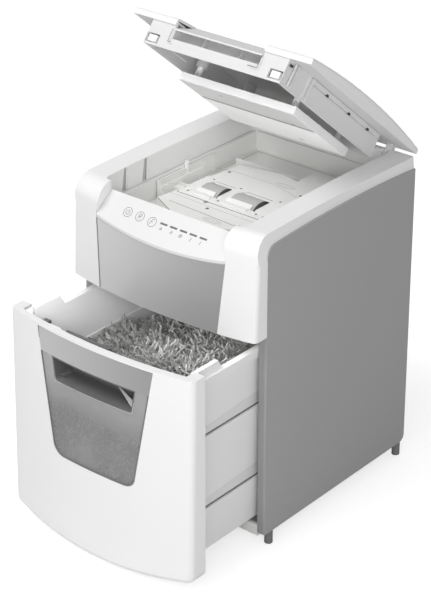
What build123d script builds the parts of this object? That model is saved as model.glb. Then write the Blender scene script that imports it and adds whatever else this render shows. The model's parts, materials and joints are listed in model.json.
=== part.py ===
from build123d import *
from math import acos, atan2, cos, degrees, hypot, pi, radians, sin, sqrt, tan
import os

# Paper shredder with an automatic feed tray under a hinged lid and a pull-out bin.
# Millimetres. Origin on the floor under the middle of the cabinet, +Z up, front towards -Y.
# The object rests as it is shown in use: bin pulled out, lid open, presser plate let down.
# Every sub-part is drawn closed; the bin and lid groups are moved to their rest pose at export.

# ---------------------------------------------------------------- driving sizes
paper_width = 210.0          # an A4 sheet lies in the tray, its length from front to back
paper_length = 297.0
paper_side_gap = 2.0
paper_end_gap = 1.0

rim_side = 37.0              # from the tray's ledge out to the cabinet's side
tray_setback = 0.5           # feed tray behind the cabinet's front edges
skin = 3.0                   # grey side panels and rear panel
side_wall = 9.0              # light inner side walls
foot_height = 14.0           # from the floor to the base plate
foot_radius = 5.5
foot_end_room = (16.0, 9.0)  # feet from the cabinet's front and rear
centre_pad_radius = 14.0
base_plate = 6.0
base_wall = 10.0
base_wall_thick = 4.0
panel_corner = 16.0          # rounding of a side panel's upper front corner
panel_rear_corner = 10.0     # rounding of a side panel's lower rear corner
seam_front_drop = 17.0       # side panel's top edge under the rim: front, middle and rear
seam_mid_drop = 13.0
seam_rear_drop = 18.0

bow_radius = 726.0           # the front is bowed in plan
bow_centre_reach = 37.5      # how far the middle of the front stands out from the side panels
front_lean = 0.046           # the upper front leans back, per unit of height
bin_lean = 0.02
shoulder_gap = 2.5           # closed bin under the shoulders
shoulder_wall = 3.0
shoulder_inner_low = 97.0    # half the opening between the shoulders: bottom, widest, top
shoulder_inner_wide = 105.5
shoulder_inner_top = 101.5
shoulder_wide_drop = 41.0
corner_fillet = 6.0
rim_front_drop = 1.0
head_height = 141.0          # cabinet over the bin, up to the rim at mid depth
rim_rear_drop = 3.0
rim_taper = 8.5              # how far the rim leans in above the seam, each side
rim_round = 25.0             # rounding from the shoulders onto the rim
rim_wall = 3.0
rim_groove_places = (39.0, 81.0)         # upright grooves in the left inner wall, from the front
groove_size = (4.0, 2.0)     # width and depth
rim_back = 4.5
hinge_room = 16.0            # the rim is solid round the hinge
ledge = 6.0                  # width of the ledge round the feed tray
ledge_drop = 33.0            # ledge of the feed tray under the rim
hinge_bulge = 7.0
rear_panel_drop = 8.0        # rear panel's top edge under the seam

panel_top_drop = 14.0        # control panel's rear edge under the rim
panel_sheet = 2.5
front_sheet = 2.5
seam_gap = 0.5
panel_lip = 16.0
lens_size = (11.5, 2.6)
lens_pitch = 15.8
lens_count = 5
lens_first_x = -2.5
lens_along = 19.5            # from the panel's rear edge, along the slope
lamp_board = (120.0, 22.0, 1.6)
lamp_board_x = 12.0
lamp_board_offset = 3.5      # the board's middle below the row of lamps
lamp_size = (4.0, 2.0, 4.0)
lamp_board_pegs = (-44.0, 68.0)
peg_radius = 2.2

tray_wall = 2.5
tray_deep = 27.0
platform_rise = 20.0
platform_half = 79.0         # widest just behind its cut front corners, narrower at the rear
platform_rear_half = 62.0
platform_front_half = 36.0
platform_front_reach = 85.0
platform_shoulder_reach = 63.0
platform_rear_reach = 83.0
platform_bulge = 13.0        # how far the middle of its rear edge reaches further back
platform_sheet = 3.0
platform_tongue_span = (29.0, 62.0)      # low and high x of the raised tongue
platform_tongue_reach = 44.0
block_length = 113.0
block_reach_front = 32.0
block_reach = 5.5
slot_front_gap = 5.0         # manual feed slot behind the control panel
slot_width = 12.0

roller_radius = 24.0
roller_lift = 6.0            # the rollers stand this much above the platform
roller_spans = ((-50.0, -18.0), (0.0, 42.0))
feed_back = 123.0            # rollers behind the cabinet's front
roller_gap = 0.9
feed_shaft_radius = 4.0

cutter_ahead = 25.0
cutter_drop = 67.0
cutter_spacing = 32.0
cutter_radius = 17.5
comb_bar = (4.0, 10.0)       # depth and height of a stripper comb's bar
comb_room = 3.0              # bar clear of the discs
comb_finger = 6.0
comb_side_gap = 1.0          # finger clear of the discs beside it
comb_tip_gap = 1.0           # finger clear of the shaft's core
cutter_core = 11.0
cutter_disc = 5.0
cutter_pitch = 11.0
cutter_count = 20
cutter_hooks = 8
hook_depth = 1.6
hook_twist = 0.21            # radians from one disc to the next
cutter_journal = 6.0
plate_room = 28.0            # inner face of the steel end plates in from the side walls
plate_thick = 3.0
plate_foot_gap = 7.0         # steel end plates over the shelf
plate_rise = 34.0
running = 0.05               # radial clearance of a shaft in its bearing
flat_gap = 0.3               # gap between pieces that slide or move past each other
deck_gap = 3.0               # shelf over the closed bin
deck_sheet = 3.0
deck_slot_half = 42.0        # half the opening that the shreds fall through

gear_width = 6.0
gear_gap = 1.5
backlash = 0.16
pressure_angle = radians(20)
timing_teeth = 32
idler_teeth = 24
feed_teeth = 28
drive_teeth, drive_pinion, drive_module = 34, 12, 1.5
second_teeth, second_pinion, second_module = 36, 14, 1.25
motor_teeth_driven, motor_pinion_teeth, motor_module = 50, 12, 1.0
arbor_radius = 4.0
hub_wall = 2.2
motor_radius = 25.0
motor_length = 92.0
motor_shaft_radius = 2.5

bin_travel = 115.0           # how far the bin is pulled out at rest
bin_top = 303.0
bin_bottom = 4.0
bin_smile = 14.0             # the front's lower edge rises this much towards its sides
bin_gap = 0.8                # closed bin front to the cabinet's front edges
bin_sheet = 4.0
bin_corner = 12.0
bin_edge_round = 8.0
lip_width = 9.0              # top edge of the bin's front
arm_width = 16.0             # the front's upper corners reach back this wide
bucket_side_room = 5.0
bucket_back_room = 31.8
bucket_low = 39.0
bucket_rim_drop = 18.0       # rim below the bin's top edge, and its raised front part
bucket_wing_drop = 4.0
bucket_notch_drop = 19.0     # the front wall's middle is lower
bucket_rim_front_length = 44.0
bucket_wall = 2.5
bucket_draft = 3.0
bucket_flange = 11.5
bucket_flange_reach = 3.0
bucket_ribs = (203.0, 100.0)
bucket_step = (221.0, 1.5)   # inner ledge: height and width
window_top_half = 95.0
window_bottom_half = 66.0
window_low = 130.0
window_round = 16.0
band_height = 36.0
window_sheet = 3.0
window_inset = 0.8
window_rim = 3.0
grip_top_half = 69.0
grip_bottom_half = 64.0
grip_height = 33.0
grip_depth = 25.0
grip_round = 8.0
grip_sheet = 2.0
clip_size = (9.0, 3.0, 9.0)  # width, thickness and reach down
clip_places = (-111.0, 111.0)
runner_height = 11.0
shred_gap = 0.4
shred_drops = (97.0, 60.0, 29.0)        # heap under the bin's top: left, middle and right
shred_crust = 12.0           # the loose heap is drawn as a crust, for its small weight

lid_open = 40.0              # degrees, at rest
lid_side_room = 9.0
lid_gap = 1.0
lid_front_edge = 9.0
lid_crown = 18.5
lid_sheet = 3.0
lid_front_room = 12.0
lid_rear_reach = 4.5
lid_edge_round = 5.0
hinge_back = 2.0
hinge_drop = 12.0
hinge_pin_radius = 2.5
hinge_pin_length = 30.0
knuckle_radius = 6.3
knuckle_inset = 8.0
knuckle_width = 10.0
knuckle_gap = 1.0
skirt_gap = 5.0              # skirt inside the rim
skirt_sheet = 3.0
skirt_depth = 32.0
skirt_front_room = 3.0
skirt_rear_room = 42.0
latch_inset = 11.0
latch_window = (20.0, 12.0)
latch_drop = 28.2
latch_tongue = (13.0, 8.6)
latch_travel = 2.5
lid_grip_half = 70.0
lid_grip_low_drop = 18.5
lid_grip_high_drop = 3.5
lid_grip_depth = 24.0
lid_scoop = 42.0
presser_side_room = 16.0
presser_front_reach = 32.0
presser_rear_reach = 111.0
presser_drop = 6.2
presser_thick = 11.0
post_radius = 4.6
post_play = 0.35
post_inset = 14.0
post_ends = 15.0
post_top_drop = 15.0
boss_wall = 3.0
boss_low_drop = 20.5
boss_high_rise = 11.0
spring_wire = 0.5            # radius of the wire
spring_radius = 3.4
spring_turns = 6
plunger_radius = 3.0
plunger_rise = 7.0

screw_head = (3.4, 2.2)      # radius and height of a screw's head
screw_shank = (1.6, 9.0)
screw_low = 60.0             # height of the rear panel's lower screws
screw_drop = 46.0            # upper screws under the seam
vent_count = 10              # upright slots in the rear panel
vent_start, vent_pitch, vent_width = 20.0, 8.0, 3.0
vent_drop, vent_height = 54.0, 42.0
bin_switch = (96.0, 232.0, 16.0, 12.0)          # x, z, width and height of the switch behind the bin
bin_switch_deep = 12.0
bin_switch_button = (6.0, 3.0, 4.0, 6.0, 3.0)   # x and z from the switch's corner, width, height, reach

# ---------------------------------------------------------------- worked out from them
tray_half = paper_width / 2 + paper_side_gap
opening_half = tray_half + ledge
half = opening_half + rim_side
rim_mid = bin_top + head_height
body_depth = rim_back + paper_length + 2 * paper_end_gap + tray_setback
seam_front = rim_mid - seam_front_drop
seam_mid = rim_mid - seam_mid_drop
seam_rear = rim_mid - seam_rear_drop
shoulder_wide_height = rim_mid - shoulder_wide_drop
rim_front = rim_mid - rim_front_drop
rim_rear = rim_mid - rim_rear_drop
ledge_height = rim_mid - ledge_drop
panel_top = rim_mid - panel_top_drop
tray_floor = ledge_height - tray_deep
platform_top = tray_floor + platform_rise
cutter_z = platform_top - cutter_drop
plate_high = cutter_z + plate_rise
lid_under = rim_mid + lid_gap
hinge_z = rim_mid - hinge_drop
latch_low = rim_mid - latch_drop
lid_grip_low = rim_mid - lid_grip_low_drop
lid_grip_high = rim_mid - lid_grip_high_drop
presser_low = platform_top - presser_drop
post_top = rim_mid - post_top_drop
boss_low = rim_mid - boss_low_drop
boss_high = rim_mid + boss_high_rise
plunger_top = ledge_height + plunger_rise
deck_z = bin_top + deck_gap
plate_low = deck_z + plate_foot_gap
front_y = -body_depth / 2
back_y = body_depth / 2
bow_y = front_y - bow_centre_reach
inner_half = half - skin - side_wall
feed_y = front_y + feed_back
cutter_y = feed_y - cutter_ahead
platform_front = feed_y - platform_front_reach
platform_shoulder = feed_y - platform_shoulder_reach
platform_rear = feed_y + platform_rear_reach
block_start = feed_y - block_reach_front
plate_x = inner_half - plate_room
lid_half = half - lid_side_room
lid_front_y = front_y + lid_front_room
hinge_y = back_y + hinge_back
lid_rear_y = hinge_y + lid_rear_reach
knuckle_x = opening_half - knuckle_inset
skirt_half = opening_half - skirt_gap
skirt_front_y = lid_front_y + skirt_front_room
skirt_rear_y = hinge_y - skirt_rear_room
latch_x = skirt_half - latch_inset
presser_half = skirt_half - presser_side_room
presser_front = feed_y - presser_front_reach
presser_rear = feed_y + presser_rear_reach
post_x = presser_half - post_inset
deck_slot = (cutter_y - deck_slot_half, cutter_y + deck_slot_half)
rim_grooves = [front_y + place for place in rim_groove_places]
platform_tongue = (*platform_tongue_span, platform_rear + platform_tongue_reach)
screw_heights = (screw_low, seam_rear - screw_drop)
base_top = foot_height + base_plate
panel_bottom = base_top
tray_back = back_y - rim_back
tray_front = tray_back - paper_length - 2 * paper_end_gap
feed_z = platform_top + roller_lift - roller_radius
cutter_front_y = cutter_y - cutter_spacing / 2
cutter_rear_y = cutter_y + cutter_spacing / 2
gear_start = plate_x + plate_thick + gear_gap + 0.5
bin_rear = front_y - bin_gap         # rear edge of the bin's front, bin closed
bucket_front = bin_rear
bucket_back = back_y - skin - bucket_back_room
bucket_half = inner_half - bucket_side_room
bucket_rim = bin_top - bucket_rim_drop
bucket_rim_front = bin_top - bucket_wing_drop
bucket_notch = bin_top - bucket_notch_drop
band_low = bin_top - band_height
grip_low = band_low - grip_height
shoulder_bottom = bin_top + shoulder_gap
far = 1000.0


# ---------------------------------------------------------------- drawing helpers
def block(x0, x1, y0, y1, z0, z1):
    """A box between two corners."""
    return Pos((x0 + x1) / 2, (y0 + y1) / 2, (z0 + z1) / 2) * Box(x1 - x0, y1 - y0, z1 - z0)


def closed_face(points):
    return make_face(Polyline(*points, close=True))


def along_x(face, x0, x1):
    """Extrude a face drawn as (y, z) from x0 to x1."""
    return extrude(Plane.YZ.offset(x0) * face, x1 - x0)


def along_y(face, y0, y1):
    """Extrude a face drawn as (x, z) from y0 to y1."""
    return extrude(Plane.XZ.offset(-y1) * face, y1 - y0)


def rod(radius, x0, x1, y, z):
    """A round bar along X."""
    return along_x(Pos(y, z) * Circle(radius), x0, x1)


def tube(outer, inner, x0, x1, y, z):
    return rod(outer, x0, x1, y, z) - rod(inner, x0 - 1, x1 + 1, y, z)


def post(radius, x, y, z0, z1):
    """A round bar along Z."""
    return Pos(x, y, (z0 + z1) / 2) * Cylinder(radius, z1 - z0)


def both_sides(shape):
    """The shape and its mirror image in the middle plane."""
    return shape + mirror(shape, Plane.YZ)


def group(shapes):
    return Compound(children=list(shapes))


# ---------------------------------------------------------------- shapes that several pieces share
def bowed_block(inset, lean, z_ref, z0, z1):
    """Everything behind the bowed, leaning front surface, set back by inset: a leaning cylinder."""
    radius = bow_radius - inset
    centre_y = bow_y + inset + radius * sqrt(1 + lean ** 2) - lean * z_ref
    axis = Plane((0, centre_y, 0), x_dir=(1, 0, 0), z_dir=(0, lean, 1))
    drum = extrude(axis * Circle(radius), amount=far, both=True)
    return drum & block(-far, far, -far, 2 * far, z0, z1)


def seam_line(front, lift=0.0):
    """The side panel's upper edge, from its front corner over the crown to the rear."""
    r = panel_corner
    low = Line((front, panel_bottom), (front, seam_front - r))
    turn = ThreePointArc((front, seam_front - r),
                         (front + r * (1 - cos(pi / 4)), seam_front - r * (1 - sin(pi / 4))),
                         (front + r, seam_front))
    crown = ThreePointArc((front + r, seam_front), (0, seam_mid), (back_y, seam_rear))
    return low, turn, crown


def side_profile():
    """The side panel's outline, drawn as (y, z)."""
    low, turn, crown = seam_line(front_y)
    r = panel_rear_corner
    back = Line((back_y, seam_rear), (back_y, panel_bottom + r))
    corner = ThreePointArc((back_y, panel_bottom + r),
                           (back_y - r * (1 - cos(pi / 4)), panel_bottom + r * (1 - sin(pi / 4))),
                           (back_y - r, panel_bottom))
    bottom = Line((back_y - r, panel_bottom), (front_y, panel_bottom))
    return make_face(Curve() + [low, turn, crown, back, corner, bottom])


def shoulder_gap_face(gap, top):
    """The opening between the two shoulders, drawn as (x, z), made smaller by gap."""
    low, wide, high = (w - gap for w in (shoulder_inner_low, shoulder_inner_wide, shoulder_inner_top))
    right = [(low, shoulder_bottom - 1), (wide, shoulder_wide_height), (high, panel_top), (high, top)]
    return closed_face([(-x, z) for x, z in right[:1]] + right + [(-x, z) for x, z in right[:0:-1]])


def under_slope(drop):
    """Everything under the control panel's plane, let down square to it by drop."""
    level = panel_top - drop * sqrt(2)
    return along_x(closed_face([(tray_front + far, level + far), (tray_front - far, level - far),
                                (tray_front + far, level - far)]), -half, half)


# ---------------------------------------------------------------- cabinet
def make_base_tray():
    """Floor plate between the side walls, with a low wall all round that they are screwed to."""
    edge = base_wall_thick
    tray = block(-inner_half, inner_half, front_y + 1, back_y - skin, foot_height, base_top + base_wall)
    return tray - block(-inner_half + edge, inner_half - edge, front_y + 1 + edge, back_y - skin - edge,
                        base_top, base_top + base_wall + 1)


def make_feet():
    """Four round feet under the side walls and a pad under the middle of the base."""
    x = inner_half + foot_radius + flat_gap
    feet = [post(foot_radius, sx * x, y, 0, panel_bottom) for sx in (-1, 1)
            for y in (front_y + foot_end_room[0], back_y - foot_end_room[1])]
    return group([*feet, post(centre_pad_radius, 0, 0, 0, foot_height)])


def make_side_panel(side):
    x = half if side > 0 else -half + skin
    return along_x(side_profile(), x - skin, x)


def make_side_frame(side):
    """The light inner side wall; its front edge shows as a strip beside the bin."""
    inner, outer = inner_half, half - skin
    wall = block(inner, outer, front_y, back_y - skin, panel_bottom, ledge_height - tray_wall)
    lightening = block(inner + 3, outer + 1, front_y + 14, back_y - 22, panel_bottom + 12, deck_z - 30)
    wall -= lightening
    wall -= screw_bores(screw_shank[0]) if side > 0 else mirror(screw_bores(screw_shank[0]), Plane.YZ)
    return wall if side > 0 else mirror(wall, Plane.YZ)


def make_rear_panel():
    reach = half - skin
    panel = block(-reach, reach, back_y - skin, back_y, panel_bottom, seam_rear - rear_panel_drop)
    low, high = seam_rear - vent_drop - vent_height, seam_rear - vent_drop
    places = [vent_start + i * vent_pitch for i in range(vent_count)]
    panel -= group(block(x, x + vent_width, back_y - far, back_y + far, low, high) for x in places)
    panel -= screw_bores(screw_shank[0] + 0.2)
    panel -= block(*inlet_span(), back_y - 9, back_y + 9, *inlet_height())
    panel -= block(*rocker_span(), back_y - 9, back_y + 9, *inlet_height())
    return panel


def make_top_frame():
    """Rim round the feed tray with the two front shoulders, one moulding."""
    top = rim_mid + 30
    body = block(-half, half, front_y - 60, back_y, shoulder_bottom, top)
    body &= bowed_block(0, front_lean, shoulder_bottom, shoulder_bottom, top)
    crown = Curve() + [ThreePointArc((front_y - 60, rim_front - 3), (0, rim_mid), (back_y, rim_rear)),
                       Line((back_y, rim_rear), (back_y, shoulder_bottom)),
                       Line((back_y, shoulder_bottom), (front_y - 60, shoulder_bottom)),
                       Line((front_y - 60, shoulder_bottom), (front_y - 60, rim_front - 3))]
    body &= along_x(make_face(crown), -half, half)
    bend = seam_front - 20
    sides = closed_face([(-half, shoulder_bottom), (half, shoulder_bottom), (half, bend),
                         (half - rim_taper, top), (-half + rim_taper, top), (-half, bend)])
    body &= along_y(sides, front_y - 60, back_y)
    front_edges = body.edges().filter_by(lambda e: e.center().Y < front_y and e.center().Z > rim_front - 8)
    body = fillet(front_edges, rim_round)
    corners = body.edges().filter_by(lambda e: abs(e.center().X) > half - 1 and e.center().Y < front_y - 9
                                     and e.center().Z < seam_front - 18)
    body = fillet(corners, corner_fillet)
    body += hinge_cover()
    body -= both_sides(along_x(side_profile(), half - skin, half + 1))
    body -= under_seam_corner()
    opening = extrude(Pos(0, (tray_front + tray_back) / 2, ledge_height - 9)
                      * RectangleRounded(2 * opening_half, tray_back - tray_front, 8), 99)
    body -= opening
    body -= along_y(shoulder_gap_face(0, top), front_y - 70, tray_front + 9)
    body -= rim_hollow()
    body -= hinge_slots()
    for y in rim_grooves:
        body -= block(-opening_half - groove_size[1], -opening_half + 1, y, y + groove_size[0],
                      ledge_height - 1, rim_mid - rim_wall)
    return body


def hinge_cover():
    """The low bulge behind the rear rim that holds the lid's hinge pins."""
    y = back_y
    outline = Curve() + [Polyline((y - 2, rim_rear - 1), (y - 2, ledge_height - 6), (y, ledge_height - 6)),
                         ThreePointArc((y, ledge_height - 6), (y + hinge_bulge, ledge_height + 12),
                                       (y + hinge_bulge - 1, rim_rear - 2)),
                         Line((y + hinge_bulge - 1, rim_rear - 2), (y - 2, rim_rear - 1))]
    reach = half - rim_taper
    return along_x(make_face(outline), -reach, reach)


def under_seam_corner():
    """The part of the frame's block that lies in the cabinet behind the shoulders."""
    basin = tray_half + tray_wall
    low, high = shoulder_bottom - 1, ledge_height
    inside = block(-half + skin, half - skin, front_y, back_y, low, high)
    inside += block(-half + skin, half - skin, back_y - skin, back_y, low, seam_rear - rear_panel_drop)
    return inside + block(-basin, basin, tray_front - tray_wall, back_y - skin, low, high)


def rim_hollow():
    side = block(opening_half + rim_wall, half - rim_taper - rim_wall, front_y + 2 * rim_wall,
                 back_y - hinge_room, ledge_height - 1, rim_mid - rim_wall - 2)
    lower = block(shoulder_inner_wide + shoulder_wall, half - shoulder_wall, front_y - 40,
                  front_y + rim_wall + 1,
                  shoulder_bottom + shoulder_wall, seam_front - panel_corner)
    lower &= bowed_block(shoulder_wall, front_lean, shoulder_bottom, shoulder_bottom, rim_mid)
    return both_sides(side) + both_sides(lower)


def hinge_slots():
    reach = knuckle_width / 2 + knuckle_gap
    slot = block(knuckle_x - reach, knuckle_x + reach, tray_back - 1, back_y + hinge_bulge + 9,
                 hinge_z - knuckle_radius - knuckle_gap, rim_mid + 9)
    bore = rod(hinge_pin_radius, knuckle_x - hinge_pin_length / 2, knuckle_x + hinge_pin_length / 2,
               hinge_y, hinge_z)
    return both_sides(slot) + both_sides(bore)


def make_hinge_pins():
    x0, x1 = knuckle_x - hinge_pin_length / 2, knuckle_x + hinge_pin_length / 2
    pin = rod(hinge_pin_radius, x0, x1, hinge_y, hinge_z)
    return group([pin, mirror(pin, Plane.YZ)])


def make_front_panel():
    plate = along_y(shoulder_gap_face(seam_gap, rim_mid), front_y - 60, tray_front)
    plate &= bowed_block(0.6, front_lean, shoulder_bottom, shoulder_bottom, rim_mid)
    plate -= bowed_block(0.6 + front_sheet, front_lean, shoulder_bottom, shoulder_bottom - 9, rim_mid + 9)
    return plate & under_slope(panel_sheet + seam_gap)


def make_control_panel():
    """Sloping plate with a lip down its rear edge and a hole for each indicator lens."""
    plate = along_y(shoulder_gap_face(seam_gap, rim_mid), front_y - 60, tray_front)
    plate &= bowed_block(0, front_lean, shoulder_bottom, shoulder_bottom, rim_mid)
    lip = plate & block(-half, half, tray_front - panel_sheet, tray_front, panel_top - panel_lip, panel_top)
    plate = (plate & under_slope(0)) - under_slope(panel_sheet)
    plate += lip & under_slope(0)
    return plate - group(lens_blocks(0, panel_sheet))


def on_slope(along, x, depth=0.0):
    """The place on the control panel that lies along its slope, x across and depth below it."""
    step = (along + depth) / sqrt(2)
    return x, tray_front - along / sqrt(2) + depth / sqrt(2), panel_top - step


def lens_blocks(shrink, deep):
    """One small block for each indicator, square to the slope."""
    for i in range(lens_count):
        x, y, z = on_slope(lens_along, lens_first_x + i * lens_pitch, deep / 2)
        yield Pos(x, y, z) * Rot(45, 0, 0) * Box(lens_size[0] - shrink, lens_size[1] - shrink, deep)


def make_indicator_lenses():
    return group(lens_blocks(0.2, panel_sheet))


def make_control_board():
    """Circuit board with its five lamps, carried on two pegs under the sloping panel."""
    depth = panel_sheet + lamp_size[2]
    along = lens_along + lamp_board_offset
    x, y, z = on_slope(along, lamp_board_x, depth + lamp_board[2] / 2)
    board = Pos(x, y, z) * Rot(45, 0, 0) * Box(*lamp_board)
    parts = [board]
    for i in range(lens_count):
        px, py, pz = on_slope(lens_along, lens_first_x + i * lens_pitch, panel_sheet + lamp_size[2] / 2)
        parts.append(Pos(px, py, pz) * Rot(45, 0, 0) * Box(*lamp_size))
    for px in lamp_board_pegs:
        ax, ay, az = on_slope(along, px, panel_sheet + lamp_size[2] / 2)
        parts.append(Pos(ax, ay, az) * Rot(45, 0, 0) * Cylinder(peg_radius, lamp_size[2]))
    return sum(parts[1:], parts[0])


# ---------------------------------------------------------------- feed tray
def make_feed_tray():
    """Basin that a stack of paper lies in, with a flange that seats under the rim."""
    floor_low = tray_floor - tray_wall
    outer = block(-tray_half - tray_wall, tray_half + tray_wall, tray_front - tray_wall + 0.01,
                  tray_back + 0.01, floor_low, ledge_height)
    flange = block(-half + skin, half - skin, front_y + rim_wall, tray_back + 0.01,
                   ledge_height - tray_wall, ledge_height)
    basin = block(-tray_half, tray_half, tray_front, tray_back - tray_wall, tray_floor, ledge_height + 1)
    tray = outer + flange - basin
    side_block = block(-tray_half, -tray_half + block_reach, block_start, block_start + block_length,
                       tray_floor, ledge_height - 2)
    tray += side_block
    low, high = feed_y - roller_radius - 3, feed_y + roller_radius + 3
    tray -= block(roller_spans[0][0] - 4, roller_spans[-1][1] + 4, low, high, floor_low - 1, tray_floor + 1)
    tray -= block(-tray_half + block_reach, bearing_ribs()[-1] + 4, feed_y - 6, feed_y + 6,
                  floor_low - 1, tray_floor + 1)
    tray -= block(-tray_half + 6, tray_half - 6, tray_front + slot_front_gap,
                  tray_front + slot_front_gap + slot_width, floor_low - 1, tray_floor + 1)
    tray -= rod(feed_shaft_radius + running, -tray_half - 9, -tray_half + block_reach + 1, feed_y, feed_z)
    tray -= post(plunger_radius + post_play, plunger_x(), plunger_y(), tray_floor, ledge_height + 9)
    return tray


def plunger_x():
    return -tray_half + plunger_radius + 0.6


def plunger_y():
    return block_start + block_length / 2


def platform_outline(inset):
    """The raised platform's outline in plan, with its two cut front corners."""
    front, rear = platform_front + inset, platform_rear - inset
    right = [(platform_front_half, front), (platform_half - inset, platform_shoulder),
             (platform_rear_half - inset, rear), (0, rear + platform_bulge)]
    left = [(-x, y) for x, y in reversed(right[:-1])]
    return closed_face(right + left)


def make_roller_bridge():
    """Raised platform over the feed rollers: slots for the rollers, holes, ribs with shaft bearings."""
    rise = platform_top - tray_floor
    shell = extrude(Pos(0, 0, tray_floor) * platform_outline(0), rise)
    x0, x1, rear = platform_tongue
    shell += block(x0, x1, platform_rear - 5, rear, tray_floor, platform_top)
    under = platform_top - platform_sheet
    shell -= extrude(Pos(0, 0, tray_floor - 1) * platform_outline(platform_sheet), rise + 1 - platform_sheet)
    shell -= block(x0 + 3, x1 - 3, platform_rear - 9, rear - 3, tray_floor - 1, under)
    hood_end = -platform_rear_half - 9
    hood_start = -tray_half + block_reach + flat_gap
    hood = block(hood_start, hood_end, feed_y - 9, feed_y + 9, tray_floor, feed_z + 9)
    shell += hood
    shell -= block(-tray_half, hood_end + 3, feed_y - 6.5, feed_y + 6.5, tray_floor - 1, feed_z + 6.5)
    for x in bearing_ribs():
        rib = block(x - 2.5, x + 2.5, feed_y - 14, feed_y + 14, tray_floor, platform_top - 1)
        shell += rib
    shell -= rod(feed_shaft_radius + running, -tray_half - 9, roller_spans[-1][1] + 19, feed_y, feed_z)
    shell -= group(roller_openings())
    shell -= group(platform_holes())
    return shell


def bearing_ribs():
    return roller_spans[0][0] - 8, (roller_spans[0][1] + roller_spans[1][0]) / 2, roller_spans[1][1] + 9


def slot_half():
    """Half the length of a roller's slot, which clears the roller at the sheet's underside."""
    return sqrt(roller_radius ** 2 - (roller_radius - roller_lift - platform_sheet) ** 2) + roller_gap


def roller_openings():
    chord = slot_half()
    for x0, x1 in roller_spans:
        yield block(x0 - roller_gap, x1 + roller_gap, feed_y - chord, feed_y + chord,
                    platform_top - platform_sheet - 1, platform_top + 1)


def platform_holes():
    chord = slot_half()
    (left, mid_left), (mid_right, right) = roller_spans
    for x in (left - 6, (mid_left + mid_right) / 2, right + 14):
        for y in (feed_y - chord + 2, feed_y + chord - 2):
            yield post(2.0, x, y, platform_top - platform_sheet - 1, platform_top + 1)
    for x in (-22.0, 66.0):
        yield post(3.2, x, feed_y - chord - 14, platform_top - platform_sheet - 1, platform_top + 1)


def make_feed_shaft():
    end = bearing_ribs()[-1] + 2.5
    return rod(feed_shaft_radius, -gear_start - gear_width, end, feed_y, feed_z)


def make_feed_rollers():
    return group(tube(roller_radius, feed_shaft_radius, x0, x1, feed_y, feed_z) for x0, x1 in roller_spans)


def make_paper_throat():
    """Two sheets that lead a page from the manual slot down to the cutters."""
    y0 = tray_front + slot_front_gap
    y1 = cutter_front_y + 6
    z0, z1 = tray_floor - tray_wall, cutter_z + cutter_radius + 6
    low = closed_face([(y0 - 1.5, z0), (y0, z0), (y1, z1), (y1, z1 - 1.5), (y0 - 1.5, z0 - 2)])
    high = closed_face([(y0 + slot_width, z0), (y1, z1 + 12), (y1, z1 + 13.5), (y0 + slot_width + 9, z0)])
    reach = plate_x - 6
    sheets = along_x(low, -reach, reach) + along_x(high, -reach, reach)
    cheek = closed_face([(y0, z0), (y1, z1 - 1.5), (y1, z1 + 13.5), (y0 + slot_width + 9, z0)])
    return sheets + along_x(cheek, reach, reach + 1.5) + along_x(cheek, -reach - 1.5, -reach)


# ---------------------------------------------------------------- cutters and drive
def gear_face(teeth, module, phase):
    """Involute spur gear with one tooth centred at the angle phase, in radians."""
    pitch_r = module * teeth / 2
    base_r, tip_r, root_r = pitch_r * cos(pressure_angle), pitch_r + module, pitch_r - 1.25 * module
    half_tooth = pi / 2 / teeth - backlash / 2 / pitch_r + tan(pressure_angle) - pressure_angle

    def reach(r):
        a = acos(min(1.0, base_r / r))
        return half_tooth - (tan(a) - a)

    start = max(base_r, root_r)
    radii = [start + (tip_r - start) * k / 4 for k in range(5)]
    if root_r < base_r:
        radii = [root_r] + radii
    points = []
    for tooth in range(teeth):
        middle = phase + 2 * pi * tooth / teeth
        flank = [(r, middle - reach(r)) for r in radii] + [(r, middle + reach(r)) for r in reversed(radii)]
        points += [(r * cos(a), r * sin(a)) for r, a in flank]
    return closed_face(points)


def gear(teeth, module, x0, centre, phase, bore):
    y, z = centre
    blank = along_x(Pos(y, z) * gear_face(teeth, module, phase), x0, x0 + gear_width)
    return blank - rod(bore, x0 - 1, x0 + gear_width + 1, y, z)


def mesh_phase(centre, teeth, phase, other, other_teeth):
    """Phase of the other gear so that its gap meets this gear's tooth."""
    towards = atan2(other[1] - centre[1], other[0] - centre[0])
    share = ((towards - phase) * teeth / (2 * pi)) % 1
    return towards + pi - (0.5 - share) * 2 * pi / other_teeth


def step_from(centre, distance, angle):
    return centre[0] + distance * cos(angle), centre[1] + distance * sin(angle)


def third_corner(a, b, from_a, from_b):
    """The point at the given distances from a and b, on the side away from the front."""
    span = hypot(b[0] - a[0], b[1] - a[1])
    along = (from_a ** 2 - from_b ** 2 + span ** 2) / (2 * span)
    off = sqrt(from_a ** 2 - along ** 2)
    ux, uz = (b[0] - a[0]) / span, (b[1] - a[1]) / span
    return a[0] + ux * along + uz * off, a[1] + uz * along - ux * off


cutter_front = (cutter_front_y, cutter_z)
cutter_rear = (cutter_rear_y, cutter_z)
feed_axis = (feed_y, feed_z)
timing_module = cutter_spacing / timing_teeth
idler_axis = third_corner(cutter_rear, feed_axis, timing_module * (timing_teeth + idler_teeth) / 2,
                          timing_module * (idler_teeth + feed_teeth) / 2)
second_axis = step_from(cutter_rear, drive_module * (drive_teeth + drive_pinion) / 2, radians(10))
first_axis = step_from(second_axis, second_module * (second_teeth + second_pinion) / 2, radians(8))
motor_axis = step_from(first_axis, motor_module * (motor_teeth_driven + motor_pinion_teeth) / 2, 0.0)
layer = [gear_start + i * (gear_width + gear_gap) for i in range(3)]
left_gears = -gear_start - gear_width

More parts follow.
